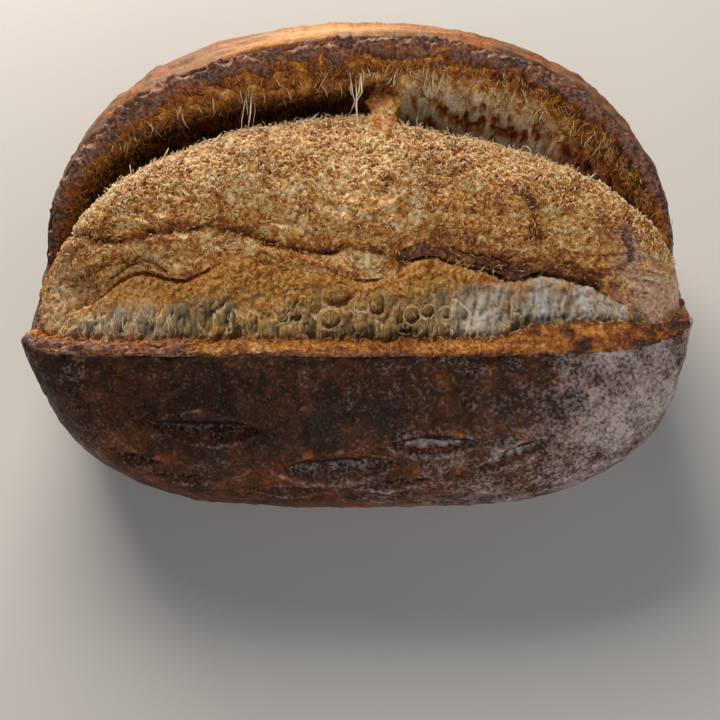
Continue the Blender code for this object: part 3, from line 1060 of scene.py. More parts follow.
def rim_baking(points, row, marks, pore):
    """How browned and how pale each point of the rim and its wall is."""
    x, y, _z = points.T
    ear, crags, layers, low_wall = marks.ear, marks.crags, marks.layers, marks.low_wall
    lip = smooth_step(-0.02, -0.035, y)
    ear_bake = 0.48 + 0.18 * smooth_step(0.03, 0.06, x) + 0.12 * smooth_step(-0.045, -0.070, x)
    bake = mix(0.36, ear_bake, ear) + 0.16 * layers + mix(0.14, 0.22, ear) * crags
    bake = bake + 0.12 * ear * marks.hanging
    bake -= 0.09 * ear * smooth_step(4.0, 7.0, row)
    # A darker, mauve band runs along the crust's edge
    ear_band = 4.9 + 0.9 * smooth_step(-0.04, -0.08, x)
    lip_left = smooth_step(-0.052, -0.062, x) * (1 - ear)
    lip_band = mix(mix(2.3, 0.8, smooth_step(0.02, 0.06, x)), 4.4, lip_left)
    tears = rough(points, 0.016, 76, octaves=3, gain=0.6)
    band = mix(lip_band, ear_band, ear) + 0.6 * crags + 0.5 * layers + 0.9 * tears * (1 - 0.5 * lip_left)
    banded = 1 - smooth_step(band - 0.8, band + 0.3, row)
    bake = mix(bake, mix(0.54, 0.57, ear) + 0.16 * layers, banded)
    # Painted shade darkens the bottom of the gap on its left
    bake += 0.20 * low_wall * (1 - smooth_step(0.0, 0.02, x)) * smooth_step(7.5, 9.0, row)
    bake += lip * smooth_step(0.045, 0.070, x) * (0.08 + 0.20 * np.clip(0.3 + crags, 0, 1))
    # The open crumb of the wall is pale, and its pores and holes are painted dark as shade
    bake = mix(bake, 0.06 + 0.14 * crags + 0.50 * pore, marks.open_wall)
    mauve = mix(0.24, 0.30, ear) * banded * (1 - 0.7 * lip * smooth_step(0.0, 0.05, x))
    return bake, 0.55 * marks.open_wall * (1 - pore) + mauve


def make_rim():
    grid = rim_grid()
    rim = add_hoop("torn_rim", RIM_COLUMNS, len(grid))
    shape_hoop(rim, grid)
    refine(rim, REFINED)

    points = points_of(rim)
    row = values_of(rim, "row")
    marks = rim_marks(points, row)
    pore = wall_pores(points, marks)
    lift(rim, rim_relief(points, row, marks, pore))
    bake, flour = rim_baking(points, row, marks, pore)
    keep_values(rim, "bake", np.clip(bake, 0, 1))
    keep_values(rim, "flour", np.clip(flour, 0, 1))
    # Torn dough that browned bare: short flakes, from gold to dark brown, with a faint gloss
    material = make_baked_material(
        "torn_crust",
        grain_mm=1.1,
        swing=1.0,
        bump_mm=0.6,
        roughness=0.5,
        specular=0.3,
        curl=1.0,
        flake_mm=1.0,
    )
    finish_piece(rim, material)
    return rim


# The bloom

BLOOM_COLUMNS = 48
BLOOM_ROWS = 128

# Lines in the bloom's skin, in plan
LONG_CREASE = (
    (-0.1027, -0.0017),
    (-0.0924, -0.0075),
    (-0.0843, -0.0098),
    (-0.0707, -0.0094),
    (-0.0566, -0.0097),
    (-0.0446, -0.0076),
    (-0.0352, -0.0112),
    (-0.0253, -0.0158),
    (-0.0099, -0.0172),
    (0.0066, -0.0178),
)
SAG_LINE = ((0.0160, -0.0190), (0.0250, -0.0180), (0.0340, -0.0185), (0.0464, -0.0225))
RIGHT_FOLD = ((0.0412, -0.0259), (0.0497, -0.0268), (0.0583, -0.0241), (0.0706, -0.0228), (0.0787, -0.0231))
UPPER_SCAR = ((0.0560, -0.0005), (0.0584, -0.0061), (0.0593, -0.0120))
END_SCAR = ((0.0895, -0.0075), (0.0927, -0.0119), (0.0913, -0.0165))

# A small oval scar, in plan: its middle and half widths
OVAL = (-0.0265, -0.0052, 0.0075, 0.0042)

# How deep those lines are, and how far the rest of the bloom's relief rises or sinks
CREASE_DEPTH = 0.0024
SAG_DEPTH = 0.0034
FOLD_DEPTH = 0.0013
SCAR_DEPTH = 0.0016
BLOOM_SWELL = 0.0011
FLOW_HEIGHT = 0.0013
WIRY_HEIGHT = 0.00058
CRINKLE_HEIGHT = 0.00030
GROOVE_DEPTH = 0.0007
UNDER_CRUMB = 0.0035
DARKEST_BLOOM = 0.64

# The bloom's outline against the gap, as the camera sees it
HORIZON_X = (-0.1100, -0.0898, -0.0551, -0.0205, 0.0136, 0.0470, 0.0813, 0.0958, 0.1100)
HORIZON_Y = (-0.0060, 0.0052, 0.0198, 0.0226, 0.0197, 0.0083, -0.0047, -0.0149, -0.0250)
HORIZON_Z = (0.0620, 0.0767, 0.0855, 0.0900, 0.0908, 0.0889, 0.0786, 0.0696, 0.0600)

# The camera's place, to a tenth of a millimetre
CAMERA_PLACE = np.array([0.0, -0.1956, 0.3367])


def crumb_zone(x):
    """1 where the front of the bloom is open crumb, and 0 beyond its ends."""
    return smooth_step(-0.108, -0.099, x) * (1 - smooth_step(0.094, 0.102, x))


def facing_camera(points, normals):
    """1 where the surface looks straight at the camera, and 0 along its outline."""
    away = CAMERA_PLACE - points
    away /= np.linalg.norm(away, axis=1)[:, None]
    return (away * normals).sum(axis=1)


def bloom_grid():
    """Lines from the bloom's left end to its right end, as rows of points across it."""
    x = BLOOM_HALF_LENGTH * np.sin(np.linspace(-math.pi / 2, math.pi / 2, 900))
    outlines = bloom_outlines(x)
    closed = np.concatenate([outlines, outlines[:1]])
    # Places counted in the outline's points: few under the bloom, and many over its top
    places = np.concatenate(
        [
            [0, 1, 2, 3.5, 5],
            np.linspace(6.5, 10, 7),
            np.linspace(10.4, 20, 27),
            [20.5, 21, 21.5, 22, 22.5, 23, 23.5, 24, 24.6],
        ]
    )
    grid = evenly_along(smooth_through(closed, places).transpose(1, 0, 2), BLOOM_ROWS)
    grid[:, :, 1] += TO_THE_MIDDLE
    return grid


def fit_outline(points):
    """Moves the bloom's back edge forwards and its left end inwards, by a few millimetres."""
    x, y, z = points.T
    back_part = smooth_step(-0.012, 0.002, y - np.interp(x, HORIZON_X, HORIZON_Y)) * (z > 0.06)
    points[:, 1] -= (0.0040 * hill(x, -0.088, 0.030) + 0.0022 * hill(x, -0.03, 0.05)) * back_part
    points[:, 0] += 0.0050 * smooth_step(-0.080, -0.112, x) * smooth_step(0.050, 0.064, z)


def bloom_marks(points, facing):
    """The masks and noises that the bloom's relief, browning and flour share."""
    x, y, z = points.T
    marks = SimpleNamespace()
    behind_ridge = y - (RIDGE[0] - tongue_reach(x) + TO_THE_MIDDLE)
    marks.zone = crumb_zone(x) * ((behind_ridge < 0.006) & (z < 0.0745) & (z > 0.04))
    # The skin at the front flowed as it rose, and the rest is woolly
    marks.top = smooth_step(0.056, 0.068, z)
    marks.lower = smooth_step(0.010, -0.012, y)
    marks.woolly = marks.top * (1 - 0.55 * marks.lower)
    flow_plane = np.column_stack([x, behind_ridge, z * 0])
    marks.flow = rough(flow_plane, (0.020, 0.0032, 1.0), 82, octaves=2)
    marks.wiry = 1 - np.abs(rough(points, 0.0024, 83, octaves=3, gain=0.7)) * 2.2
    marks.crinkle = rough(points, 0.0014, 93, octaves=1)
    marks.patches = rough(points, 0.014, 85, octaves=3, gain=0.6)
    # How far each point is from the lines in the skin
    marks.crease = near_line(x, y - 0.0012 * rough(points, 0.008, 84), LONG_CREASE)
    marks.sag = near_line(x, y, SAG_LINE)
    marks.fold = near_line(x, y - 0.0010 * rough(points, 0.006, 86), RIGHT_FOLD)
    ragged = 0.0010 * rough(points, 0.004, 88)
    marks.scars = np.minimum(near_line(x + ragged, y, UPPER_SCAR), near_line(x + ragged, y, END_SCAR))
    oval = np.hypot((x - OVAL[0]) / OVAL[2], (y - OVAL[1]) / OVAL[3])
    marks.oval = oval + 0.12 * rough(points, 0.006, 89)
    # The torn ridge, and the skin behind, painted pale where it turns away from the camera: partly skin that
    # baked less, partly painted rim light from the window behind
    ridge_width = mix(0.0028, 0.0042, right_share(x))
    near_ridge = hill(behind_ridge, 0.0002, ridge_width) * smooth_step(0.0695, 0.0725, z) * crumb_zone(x)
    marks.near_ridge = np.clip(near_ridge * (0.55 + 0.6 * rough(points, 0.010, 87)), 0, 1)
    turned = facing + 0.12 * marks.patches + 0.20 * smooth_step(0.0, 0.05, x)
    marks.pale_back = (1 - smooth_step(0.22, 0.60, turned)) * ((z > 0.055) * smooth_step(-0.02, 0.0, y))
    marks.left_end = smooth_step(-0.090, -0.100, x) * smooth_step(0.0, -0.012, y) * (z < 0.073)
    marks.right_end = smooth_step(0.090, 0.098, x) * smooth_step(-0.012, -0.022, y)
    return marks


def bloom_relief(points, marks):
    """How far each point of the bloom rises from its smooth shape."""
    x, _y, z = points.T
    slow = rough(points, 0.022, 81, octaves=3) * BLOOM_SWELL
    grooves = rough(points, (0.0022, 0.0022, 0.012), 90, octaves=2) * smooth_step(-0.088, -0.098, x)
    carved = CREASE_DEPTH * hill(marks.crease, 0, 0.0013) + SAG_DEPTH * hill(marks.sag, 0, 0.0038)
    carved += FOLD_DEPTH * hill(marks.fold, 0, 0.0022) + SCAR_DEPTH * hill(marks.scars, 0, 0.0015)
    carved += 0.0005 * hill(marks.oval, 1.0, 0.16) - 0.0003 * hill(marks.oval, 1.35, 0.2)
    wool = marks.woolly * (WIRY_HEIGHT * marks.wiry + CRINKLE_HEIGHT * marks.crinkle)
    skin = marks.top * (FLOW_HEIGHT * marks.lower * marks.flow - carved)
    return slow + GROOVE_DEPTH * grooves * (z > 0.03) + wool + skin - UNDER_CRUMB * marks.zone


def bloom_baking(points, marks):
    """How browned and how straw-pale each point of the bloom is, painted light and shade among it."""
    x, _y, z = points.T
    lower, patches, pale_back = marks.lower, marks.patches, marks.pale_back
    bake = 0.24 + 0.14 * patches + 0.13 * rough(points, 0.005, 99)
    bake -= marks.woolly * (0.10 * (marks.wiry - 0.4) + 0.10 * marks.crinkle)
    bake += 0.02 * lower + 0.16 * lower * marks.flow + mix(0.20, 0.26, right_share(x)) * marks.near_ridge
    # Painted shade darkens the top towards the right, away from the window, and painted light pales the lower
    # front on the left
    bake += 0.05 * smooth_step(0.0, 0.05, x) * (1 - lower) - 0.04 * lower * (1 - right_share(x))
    bake += 0.04 * smooth_step(0.03, 0.08, x) * lower + 0.08 * smooth_step(-0.080, -0.095, x)
    # Painted shade darkens the creases, the sag under the ridge and the fold, whose skin is also browner; the
    # scars browned first
    bake += 0.24 * hill(marks.crease, 0, 0.0013) + 0.26 * hill(marks.sag, 0, 0.0060)
    bake += 0.24 * hill(marks.fold, 0, 0.0042) + 0.36 * hill(marks.scars, 0, 0.0016)
    bake += 0.12 * hill(marks.oval, 1.0, 0.14) * (x < OVAL[0] + 0.002)
    # Along the outline the skin is painted pale: partly skin that baked less, partly painted rim light
    bake = mix(np.minimum(bake, DARKEST_BLOOM), 0.10 + 0.08 * patches, 0.75 * pale_back)
    # Below the ridge both ends are like the crumb, in upright streaks
    streaks = rough(points, (0.0016, 0.0016, 0.010), 92, octaves=2)
    bake = mix(bake, 0.36 + 0.30 * streaks + 0.14 * patches, 0.85 * marks.left_end)
    bake = mix(bake, 0.30 + 0.15 * streaks, 0.7 * marks.right_end)
    straw = 0.90 * pale_back * mix(1.0, 0.5, smooth_step(-0.03, 0.03, x))
    pale_streaks = marks.left_end * smooth_step(0.070, 0.062, z) * (0.35 + 0.5 * streaks)
    return bake, np.maximum(straw, pale_streaks)


def bloom_flour(points, marks):
    """How floured each point of the bloom is: most at its right end and in the gap."""
    x, y, z = points.T
    flour = 0.46 * smooth_step(0.060, 0.100, x) * smooth_step(0.004, -0.014, y)
    flour += 0.14 * marks.lower * (1 - marks.zone) * (1 - smooth_step(0.04, 0.08, x))
    gap = smooth_step(0.080, 0.072, z) * smooth_step(0.0, 0.02, y)
    flour += 0.30 * gap + 0.20 * (marks.oval < 0.9) * hill(marks.oval, 0, 0.8)
    # The flour on the outline's left is part of the same pale edge, partly painted rim light
    flour += 0.26 * marks.pale_back * smooth_step(0.02, -0.02, x)
    flour += 0.06 * marks.left_end + 0.16 * marks.right_end
    flour += 0.20 * hill(marks.scars, 0.0025, 0.0018) - 0.16
    # Less flour keeps the painted shade in the fold and the sag dark
    flour -= 0.35 * hill(marks.fold, 0, 0.0050) + 0.35 * hill(marks.sag, 0, 0.0060)
    return flour - 0.20 * marks.near_ridge


def make_bulge():
    end_y, end_z = BLOOM_END
    poles = [(x, end_y + TO_THE_MIDDLE, end_z) for x in (-BLOOM_HALF_LENGTH, BLOOM_HALF_LENGTH)]
    bulge = add_ball("bulge", BLOOM_COLUMNS, BLOOM_ROWS)
    shape_ball(bulge, bloom_grid(), *poles)
    refine(bulge, REFINED)

    points = points_of(bulge)
    fit_outline(points)
    move_points(bulge, points)
    marks = bloom_marks(points, facing_camera(points, normals_of(bulge)))
    lift(bulge, bloom_relief(points, marks))
    bake, straw = bloom_baking(points, marks)
    keep_values(bulge, "bake", np.clip(bake, 0, 1))
    keep_values(bulge, "straw", np.clip(straw, 0, 1))
    keep_values(bulge, "flour", np.clip(bloom_flour(points, marks), 0, 1))
    # Dough that rose out of the slash late and baked bare: golden flakes with a soft gloss
    material = make_baked_material(
        "golden_bloom",
        grain_mm=1.3,
        swing=1.5,
        bump_mm=0.7,
        roughness=0.38,
        specular=0.5,
        flour="#d6bfc0",
        curl=1.5,
        flake_mm=1.2,
    )
    finish_piece(bulge, material)
    return bulge


# The crumb

CRUMB_COLUMNS = 40
CRUMB_ROWS = 150
CRUMB_ENDS = (-0.108, 0.103)
CRUMB_MIDDLE = -0.0025
CRUMB_LENGTH = 0.211

# Up the crumb's slope, in Y and Z
SLOPE_Y = 0.857
SLOPE_Z = 0.515

# Beyond this column the crumb turns back under the bloom
LAST_SEEN_COLUMN = 26

# Bubbles that stand out: centre along X and Y, half width along X and up the slope, depth
BUBBLES = (
    (-0.0220, -0.0338, 0.0024, 0.0023, 0.0045),
    (-0.0227, -0.0283, 0.0023, 0.0028, 0.0025),
    (0.0057, -0.0307, 0.0028, 0.0038, 0.0050),
    (0.0152, -0.0375, 0.0023, 0.0018, 0.0045),
    (0.0176, -0.0335, 0.0028, 0.0030, 0.0030),
    (0.0227, -0.0325, 0.0024, 0.0026, 0.0028),
    (0.0291, -0.0330, 0.0016, 0.0024, 0.0025),
    (-0.0074, -0.0284, 0.0054, 0.0036, 0.0040),
    (-0.0102, -0.0347, 0.0036, 0.0034, 0.0035),
)

# The cells between the webs: places along X and the cells' widths between them, in mm
CELL_PLACES = (-110, -45, -30, 34, 45, 105)
CELL_WIDTHS = (5.0, 6.0, 6.5, 4.0, 3.4)
CELL_HEIGHT = 0.0180
MIDDLE_CELL_WIDTH = 0.0058
CELL_SEED = 93
CELL_JITTER = 0.6

# Where the smooth upper crumb starts: places along X, and how far up the slope, in mm
UPPER_START = ((-110, -60, -35, 30, 60, 100), (15, 19, 20, 23, 21, 17))

# How deep the hollows and pores are, and how far webs and strands rise
HOLLOW_DEPTHS = (0.0012, 0.0032)
PIT_DEPTH = 0.0006
STRAND_HEIGHT = 0.00060
CRUMB_GRAIN = 0.00022
CRUMB_RISE = 0.0008


def crumb_grid():
    """Lines from the crumb's left end to its right end, over the front of the bloom and back under it."""
    x = mix(*CRUMB_ENDS, (1 - np.cos(np.linspace(0, math.pi, 600))) / 2)
    front = smooth_through(bloom_outlines(x)[2:10], np.linspace(0, 5.6, 30))
    back = front[[28, 24, 20, 16, 12, 9, 6, 4, 2, 0]] + np.array([0, 0.0045, -0.0045])
    share = np.abs(2 * (x - CRUMB_MIDDLE) / CRUMB_LENGTH)
    taper = rounded(np.clip(share, 0, 1), 8)[None, :, None]
    sunk = front.mean(axis=0) + np.array([0, 0.004, -0.004])
    closed = mix(sunk[None], np.concatenate([front, back]), taper)
    grid = evenly_along(closed.transpose(1, 0, 2), CRUMB_ROWS)
    grid[:, :, 1] += TO_THE_MIDDLE
    return grid


def crumb_marks(points):
    """The masks and noises that the crumb's relief, webs and colours share."""
    x, y, z = points.T
    marks = SimpleNamespace()
    marks.slope = np.hypot(y - FOOT[0], z - FOOT[1]) * np.where(y > FOOT[0], 1, -1)
    marks.warp = rough(points, 0.007, 91, octaves=3)
    marks.ragged = rough(points, 0.0028, 94, octaves=2)
    strand_plane = np.column_stack([x, marks.slope, x * 0])
    marks.strands = 1 - 2 * np.abs(rough(strand_plane, (0.0018, 0.010, 1.0), 96, octaves=2))
    # The webs come and go
    marks.gate = smooth_step(-0.30, 0.30, rough(points, 0.010, 98, octaves=2))
    upper_start = np.interp(x, *np.array(UPPER_START) * MM)
    marks.upper = smooth_step(-0.004, 0.004, marks.slope - upper_start + 0.003 * marks.warp)
    return marks


def crumb_cells(x, marks):
    """For each point: how far it is from a web, its cell's number, and which way the nearest web runs."""
    cells_along = np.concatenate([[0], np.cumsum(np.diff(CELL_PLACES) / CELL_WIDTHS)])
    along = np.interp(x, np.array(CELL_PLACES) * MM, cells_along) + 0.35 * marks.warp + 0.10 * marks.ragged
    above = marks.slope / CELL_HEIGHT + 0.15 + 0.3 * marks.warp
    plane = np.column_stack([along, above])
    first, second, number = scattered_cells(plane, CELL_SEED, CELL_JITTER)
    # The distance from a web changes across it, and stays the same along it
    step = 0.02
    changes = []
    for aside in ((step, 0), (0, step)):
        first_aside, second_aside, _number = scattered_cells(plane + aside, CELL_SEED, CELL_JITTER)
        changes.append(second_aside - first_aside - second + first)
    way_up = changes[0] / MIDDLE_CELL_WIDTH
    way_along = -changes[1] / CELL_HEIGHT
    length = np.maximum(np.hypot(way_up, way_along), 1e-9)
    return second - first + 0.07 * marks.ragged, number, way_along / length, way_up / length


def crumb_hollows(points, marks, border, number):
    """How deep each point of the crumb lies, and how much of it is pale web; the rest takes the hollows'
    painted shade.
    """
    x, _y, _z = points.T
    fine_plane = np.column_stack([x / 0.0026, marks.slope / 0.0042]) + 0.25 * marks.warp[:, None]
    first, second, fine_number = scattered_cells(fine_plane, 95)
    pits = smooth_step(0.0, 0.5, second - first) * (fine_number > 0.5)
    depth = smooth_step(0.0, 0.45, border) * mix(*HOLLOW_DEPTHS, number) * (0.4 + 0.6 * marks.gate)
    depth = depth + PIT_DEPTH * pits
    depth -= STRAND_HEIGHT * marks.strands * (1 - marks.upper)
    depth = mix(depth, 0.0010 + 0.0012 * marks.ragged, 0.8 * marks.upper)
    line = 1 - smooth_step(0.0, 0.10, border)
    halo = 1 - smooth_step(0.0, 0.50, border)
    web = 0.04 + 0.16 * halo + 0.80 * line * marks.gate
    web += 0.22 * smooth_step(0.4, 0.95, marks.strands) + 0.12 * marks.warp
    web *= 1 - mix(0.25, 0.50, smooth_step(0, 0.01, x)) * smooth_step(0.050, 0.075, np.abs(x))
    return depth, mix(web, 0.30 + 0.10 * marks.ragged, marks.upper)


def press_bubbles(points, marks, depth, web):
    """The same depths and webs, with the large bubbles sunk in and painted dark inside as shade, and their
    rims raised and pale.
    """
    x, y, _z = points.T
    broken = smooth_step(-0.4, 0.2, rough(points, 0.004, 100, octaves=1))
    for place_x, place_y, half_x, half_slope, bubble_depth in BUBBLES:
        away = np.hypot((x - place_x) / half_x, (y - place_y) / (half_slope * SLOPE_Y))
        away = away + 0.16 * marks.warp + 0.05 * marks.ragged
        depth = mix(depth, bubble_depth * (0.7 + 0.3 * (y < place_y)), 1 - smooth_step(0.70, 1.0, away))
        ring = hill(away, 1.08, 0.11) * broken
        depth = mix(depth, -0.0002, 0.6 * ring)
        # Painted shade inside each bubble
        web = mix(web, 0.05, 0.8 * (away < 0.9))
        web = np.maximum(web, 0.95 * ring)
    return depth, web


def crumb_colours(points, marks):
    """How golden and how white each point of the crumb is."""
    x, y, _z = points.T
    warp, upper = marks.warp, marks.upper
    foot_height = mix(0.004, 0.0105, smooth_step(0.055, 0.070, x)) * (1 + 0.35 * warp)
    foot_bake = 0.8 * (1 - smooth_step(0.5 * foot_height, foot_height, marks.slope))
    golden = 0.30 * hill(x, -0.005, 0.045) + 0.25 * warp
    fan = hill(x + 0.004 * warp, 0.041, 0.009) * smooth_step(-0.043, -0.038, y)
    fan = fan * smooth_step(-0.022, -0.030, y + 0.003 * warp)
    patch = smooth_step(0.050, 0.060, x) * smooth_step(0.2, -0.2, rough(points, (0.007, 0.005, 0.005), 101))
    pale_right = smooth_step(0.050, 0.060, x + 0.004 * warp) * (1 - smooth_step(0.088, 0.098, x))
    pale_right *= smooth_step(-0.040, -0.034, y) * (0.6 + 0.5 * rough(points, (0.004, 0.010, 0.010), 102))
    flour = 0.8 * fan + 1.0 * pale_right + 0.35 * patch * (1 - upper)
    flour = flour + 0.22 * smooth_step(-0.05, -0.08, x) * (1 - upper)
    flour *= (0.55 + 0.45 * np.clip(marks.strands, 0, 1)) * (1 - foot_bake)
    return golden + 0.8 * upper * (1 - pale_right) + foot_bake, flour


def make_crumb():
    grid = crumb_grid()
    crumb = add_ball("crumb", CRUMB_COLUMNS, CRUMB_ROWS)
    shape_ball(crumb, grid, grid[0].mean(axis=0), grid[-1].mean(axis=0))
    refine(crumb, REFINED)

    points = points_of(crumb)
    column = values_of(crumb, "column")
    marks = crumb_marks(points)
    border, number, web_x, web_up = crumb_cells(points[:, 0], marks)
    depth, web = press_bubbles(points, marks, *crumb_hollows(points, marks, border, number))
    relief = CRUMB_RISE + CRUMB_GRAIN * rough(points, 0.0016, 97, octaves=2)
    relief = relief - depth * smooth_step(-0.002, 0.004, marks.slope)
    lift(crumb, (1 - smooth_step(28.5, 29.5, column)) * relief)

    bake, flour = crumb_colours(points, marks)
    line = (1 - smooth_step(0.0, 0.10, border)) * marks.gate * (1 - 0.85 * marks.upper)
    line = line * (column < LAST_SEEN_COLUMN) * smooth_step(0.002, 0.005, marks.slope)
    for name, values in (("bake", bake), ("web", web), ("flour", flour)):
        keep_values(crumb, name, np.clip(values, 0, 1))
    for name, values in (("line", line), ("web_x", web_x), ("web_up", web_up)):
        keep_values(crumb, name, values)
    finish_piece(crumb, make_crumb_material())
    return crumb


# Fibres, threads and strands


def pick_points(piece, weights, count, rng):
    """Places on a piece, chosen by weight, with the normals there and the points' numbers.

    The points are put in order of their places first, because a divided ball's own order changes
    from run to run, and the same points have to be chosen each time.
    """
    points = points_of(piece)
    order = np.lexsort(np.round(points / MM, 3).T)
    weights = np.maximum(weights[order], 1e-9)
    chosen = order[rng.choice(len(order), size=count, replace=False, p=weights / weights.sum())]
    return points[chosen], normals_of(piece)[chosen], chosen


def make_bloom_fibres(name, bulge, seed, count, width, value_range):
    """The torn, caramelised fibres that make the bloom's skin look woolly, painted pale as glints of the
    window's light.
    """
    rng = np.random.default_rng(seed)
    x, y, z = points_of(bulge).T
    upright = normals_of(bulge)[:, 2]
    weights = smooth_step(0.056, 0.066, z + 0.010 * (x < -0.090)) * (upright > 0.0)
    weights *= (1 - 0.5 * smooth_step(0.05, 0.09, x)) * (1 - 0.55 * smooth_step(0.006, -0.008, y))
    places, normals, _chosen = pick_points(bulge, weights, count, rng)
    size = rng.uniform(0.4, 1.0, count)
    curls = rng.uniform(-0.0007, 0.0007, count)
    ways = rng.normal(size=(count, 3))
    lines = lay_on(places, normals, ways, 0.0028 * size, 0.0008 * size, curls)
    x, y, _z = places.T
    behind = np.clip((y - np.interp(x, HORIZON_X, HORIZON_Y) + 0.006) / 0.006, 0, 1)
    # Painted light and shade: fibres are paler behind the outline, where the window lights them, and darker
    # towards the front
    values = rng.uniform(*value_range, count) + 0.12 * smooth_step(0.008, -0.012, y) - 0.06 * behind
    material = make_fibre_material("caramelised_fibre")
    lay_fibres(name, lines, width * (0.4 + 0.6 * size), values, material)


def make_torn_fibres(rim):
    """Fibres that hang from the torn face of the ear and stand along the lip."""
    rng = np.random.default_rng(302)
    count = 4200
    row = values_of(rim, "row")
    ear = smooth_step(0.0, 0.03, points_of(rim)[:, 1])
    weights = ear * smooth_step(4.5, 6.0, row) * (1 - smooth_step(9.0, 11.0, row))
    weights += 0.5 * (1 - ear) * smooth_step(3.5, 5.0, row) * (1 - smooth_step(6.0, 8.0, row))
    places, normals, _chosen = pick_points(rim, weights, count, rng)
    down = np.array([0, 0, -1.0]) + rng.normal(scale=0.6, size=places.shape)
    size = rng.uniform(0.35, 1.0, count) ** 1.5
    curls = rng.uniform(-0.0010, 0.0010, count)
    lines = lay_on(places, normals, down, 0.0045 * size, 0.0010 * size, curls)
    values = 0.16 + 0.35 * rng.beta(1.5, 2.5, count) - 0.10 * smooth_step(0.0, 0.02, places[:, 0])
    material = make_fibre_material("torn_fibre")
    lay_fibres("torn_fibres", lines, 0.00016 * size + 0.00005, values, material)


def make_crumb_threads(crumb):
    """Pale gluten threads along the webs of the crumb and round its bubbles."""
    rng = np.random.default_rng(303)
    count = 1500
    web_x, web_up = values_of(crumb, "web_x"), values_of(crumb, "web_up")
    line = values_of(crumb, "line") ** 2 * smooth_step(0.55, 0.90, np.abs(web_up)) + 0.03
    places, normals, chosen = pick_points(crumb, line, count, rng)
    up_slope = np.array([0, SLOPE_Y, SLOPE_Z])
    ways = web_x[chosen, None] * (1, 0, 0) + web_up[chosen, None] * up_slope
    ways = ways * np.sign(ways[:, 2:]) + up_slope + rng.normal(scale=0.12, size=places.shape)
    size = rng.uniform(0.3, 1.0, count) ** 1.5
    curls = rng.uniform(-0.0008, 0.0008, count)
    lines = lay_on(places, normals, ways, 0.0056 * size, 0.0005 * size, curls)
    values = rng.uniform(-0.15, 0.14, count) + 0.22 * smooth_step(-0.036, -0.026, places[:, 1])
    material = make_fibre_material("gluten_thread")
    lay_fibres("crumb_threads", lines, 0.00015 * size + 0.00007, values, material)


def make_bubble_rims(crumb):
    """The thin torn rims of the large bubbles."""
    rng = np.random.default_rng(306)
    steps = 14
    points = points_of(crumb)
    shown = values_of(crumb, "column") < LAST_SEEN_COLUMN
    starts, ends = [], []
    for place_x, place_y, half_x, half_slope, _depth in BUBBLES:
        turns = np.linspace(0, 2 * math.pi, steps + 1) + rng.uniform(0, 0.4)
        swell = 1.08 + 0.10 * rng.normal(size=steps + 1)
        ring_x = place_x + half_x * swell * np.cos(turns)
        ring_y = place_y + half_slope * SLOPE_Y * swell * np.sin(turns)
        ring = []
        for x, y in zip(ring_x, ring_y):
            away = np.hypot(points[:, 0] - x, points[:, 1] - y) + 1.0 * ~shown
            ring.append(points[np.argmin(away)] + (0, -0.0002, 0.0004))
        kept = rng.uniform(size=steps) < 0.8
        starts.append(np.array(ring[:-1])[kept])
        ends.append(np.array(ring[1:])[kept])
    starts, ends = np.concatenate(starts), np.concatenate(ends)
    reach = (ends - starts) * 0.12
    arches = rng.normal(scale=0.00012, size=starts.shape)
    widths = rng.uniform(0.00014, 0.00026, len(starts))
    values = rng.uniform(-0.05, 0.10, len(starts))
    lines = starts - reach, ends + reach, arches
    lay_fibres("bubble_rims", lines, widths, values, make_fibre_material("bubble_rim"))


# How many long and short strands stand on the bloom's edge, and how many hang from the ear
LONG_STRANDS = 22
SHORT_STRANDS = 1000
HUNG = 90

# Places along X of the thick strands that still tie the bloom to the ear, and the threads in each
TIES = np.array([-0.0400, -0.0030])
TIE_THREADS = 4


def edge_strands(bulge, rng):
    """Starts and ends of the strands along the bloom's outline against the gap."""
    count = LONG_STRANDS + SHORT_STRANDS
    skin = points_of(bulge)
    x, y, z = skin.T
    on_edge = np.abs(facing_camera(skin, normals_of(bulge)) - 0.15) < 0.22
    on_edge = on_edge & (np.abs(x) < 0.090) & (y > np.interp(x, HORIZON_X, HORIZON_Y) - 0.004) & (z > 0.058)
    starts, _normals, _chosen = pick_points(bulge, on_edge.astype(float), count, rng)
    long_reach = rng.uniform(0.002, 0.005, LONG_STRANDS)
    reach = np.concatenate([long_reach, rng.uniform(0.0006, 0.0022, SHORT_STRANDS)])
    x = starts[:, 0]
    lean = rng.normal(scale=0.75, size=count) - 0.4 * np.sign(x) * (np.abs(x) > 0.04)
    return starts, starts + np.column_stack([lean * reach, reach, rng.uniform(-0.1, 0.5, count) * reach])


def ear_threads(rim, rng):
    """Starts and ends of the threads that hang from the ear, and of those that tie it to the bloom."""
    row = values_of(rim, "row")
    points = points_of(rim)
    on_ear = (row > 5.5) & (row < 7.5) & (points[:, 1] > 0.03)
    hung, _normals, _chosen = pick_points(rim, on_ear.astype(float), HUNG, rng)
    drop = rng.uniform(0.002, 0.008, HUNG)
    aside = rng.normal(scale=0.35, size=HUNG) * drop
    hung_ends = hung + np.column_stack([aside, -0.45 * drop, -0.85 * drop])
    ties = [points[np.argmin(np.abs(points[:, 0] - place) + 1.0 * ~on_ear)] for place in TIES]
    tie_y = np.interp(TIES, HORIZON_X, HORIZON_Y) + 0.001
    tie_ends = np.column_stack([TIES, tie_y, np.interp(TIES, HORIZON_X, HORIZON_Z)])
    ties = np.repeat(ties, TIE_THREADS, axis=0)
    tie_ends = np.repeat(tie_ends, TIE_THREADS, axis=0)
    ties += rng.normal(scale=(0.0011, 0.0006, 0.0006), size=ties.shape)
    tie_ends += rng.normal(scale=(0.0024, 0.0008, 0.0003), size=ties.shape)
    tie_ends = ties + (tie_ends - ties) * rng.uniform(0.45, 1.0, (len(ties), 1))
    return np.concatenate([hung, ties]), np.concatenate([hung_ends, tie_ends])


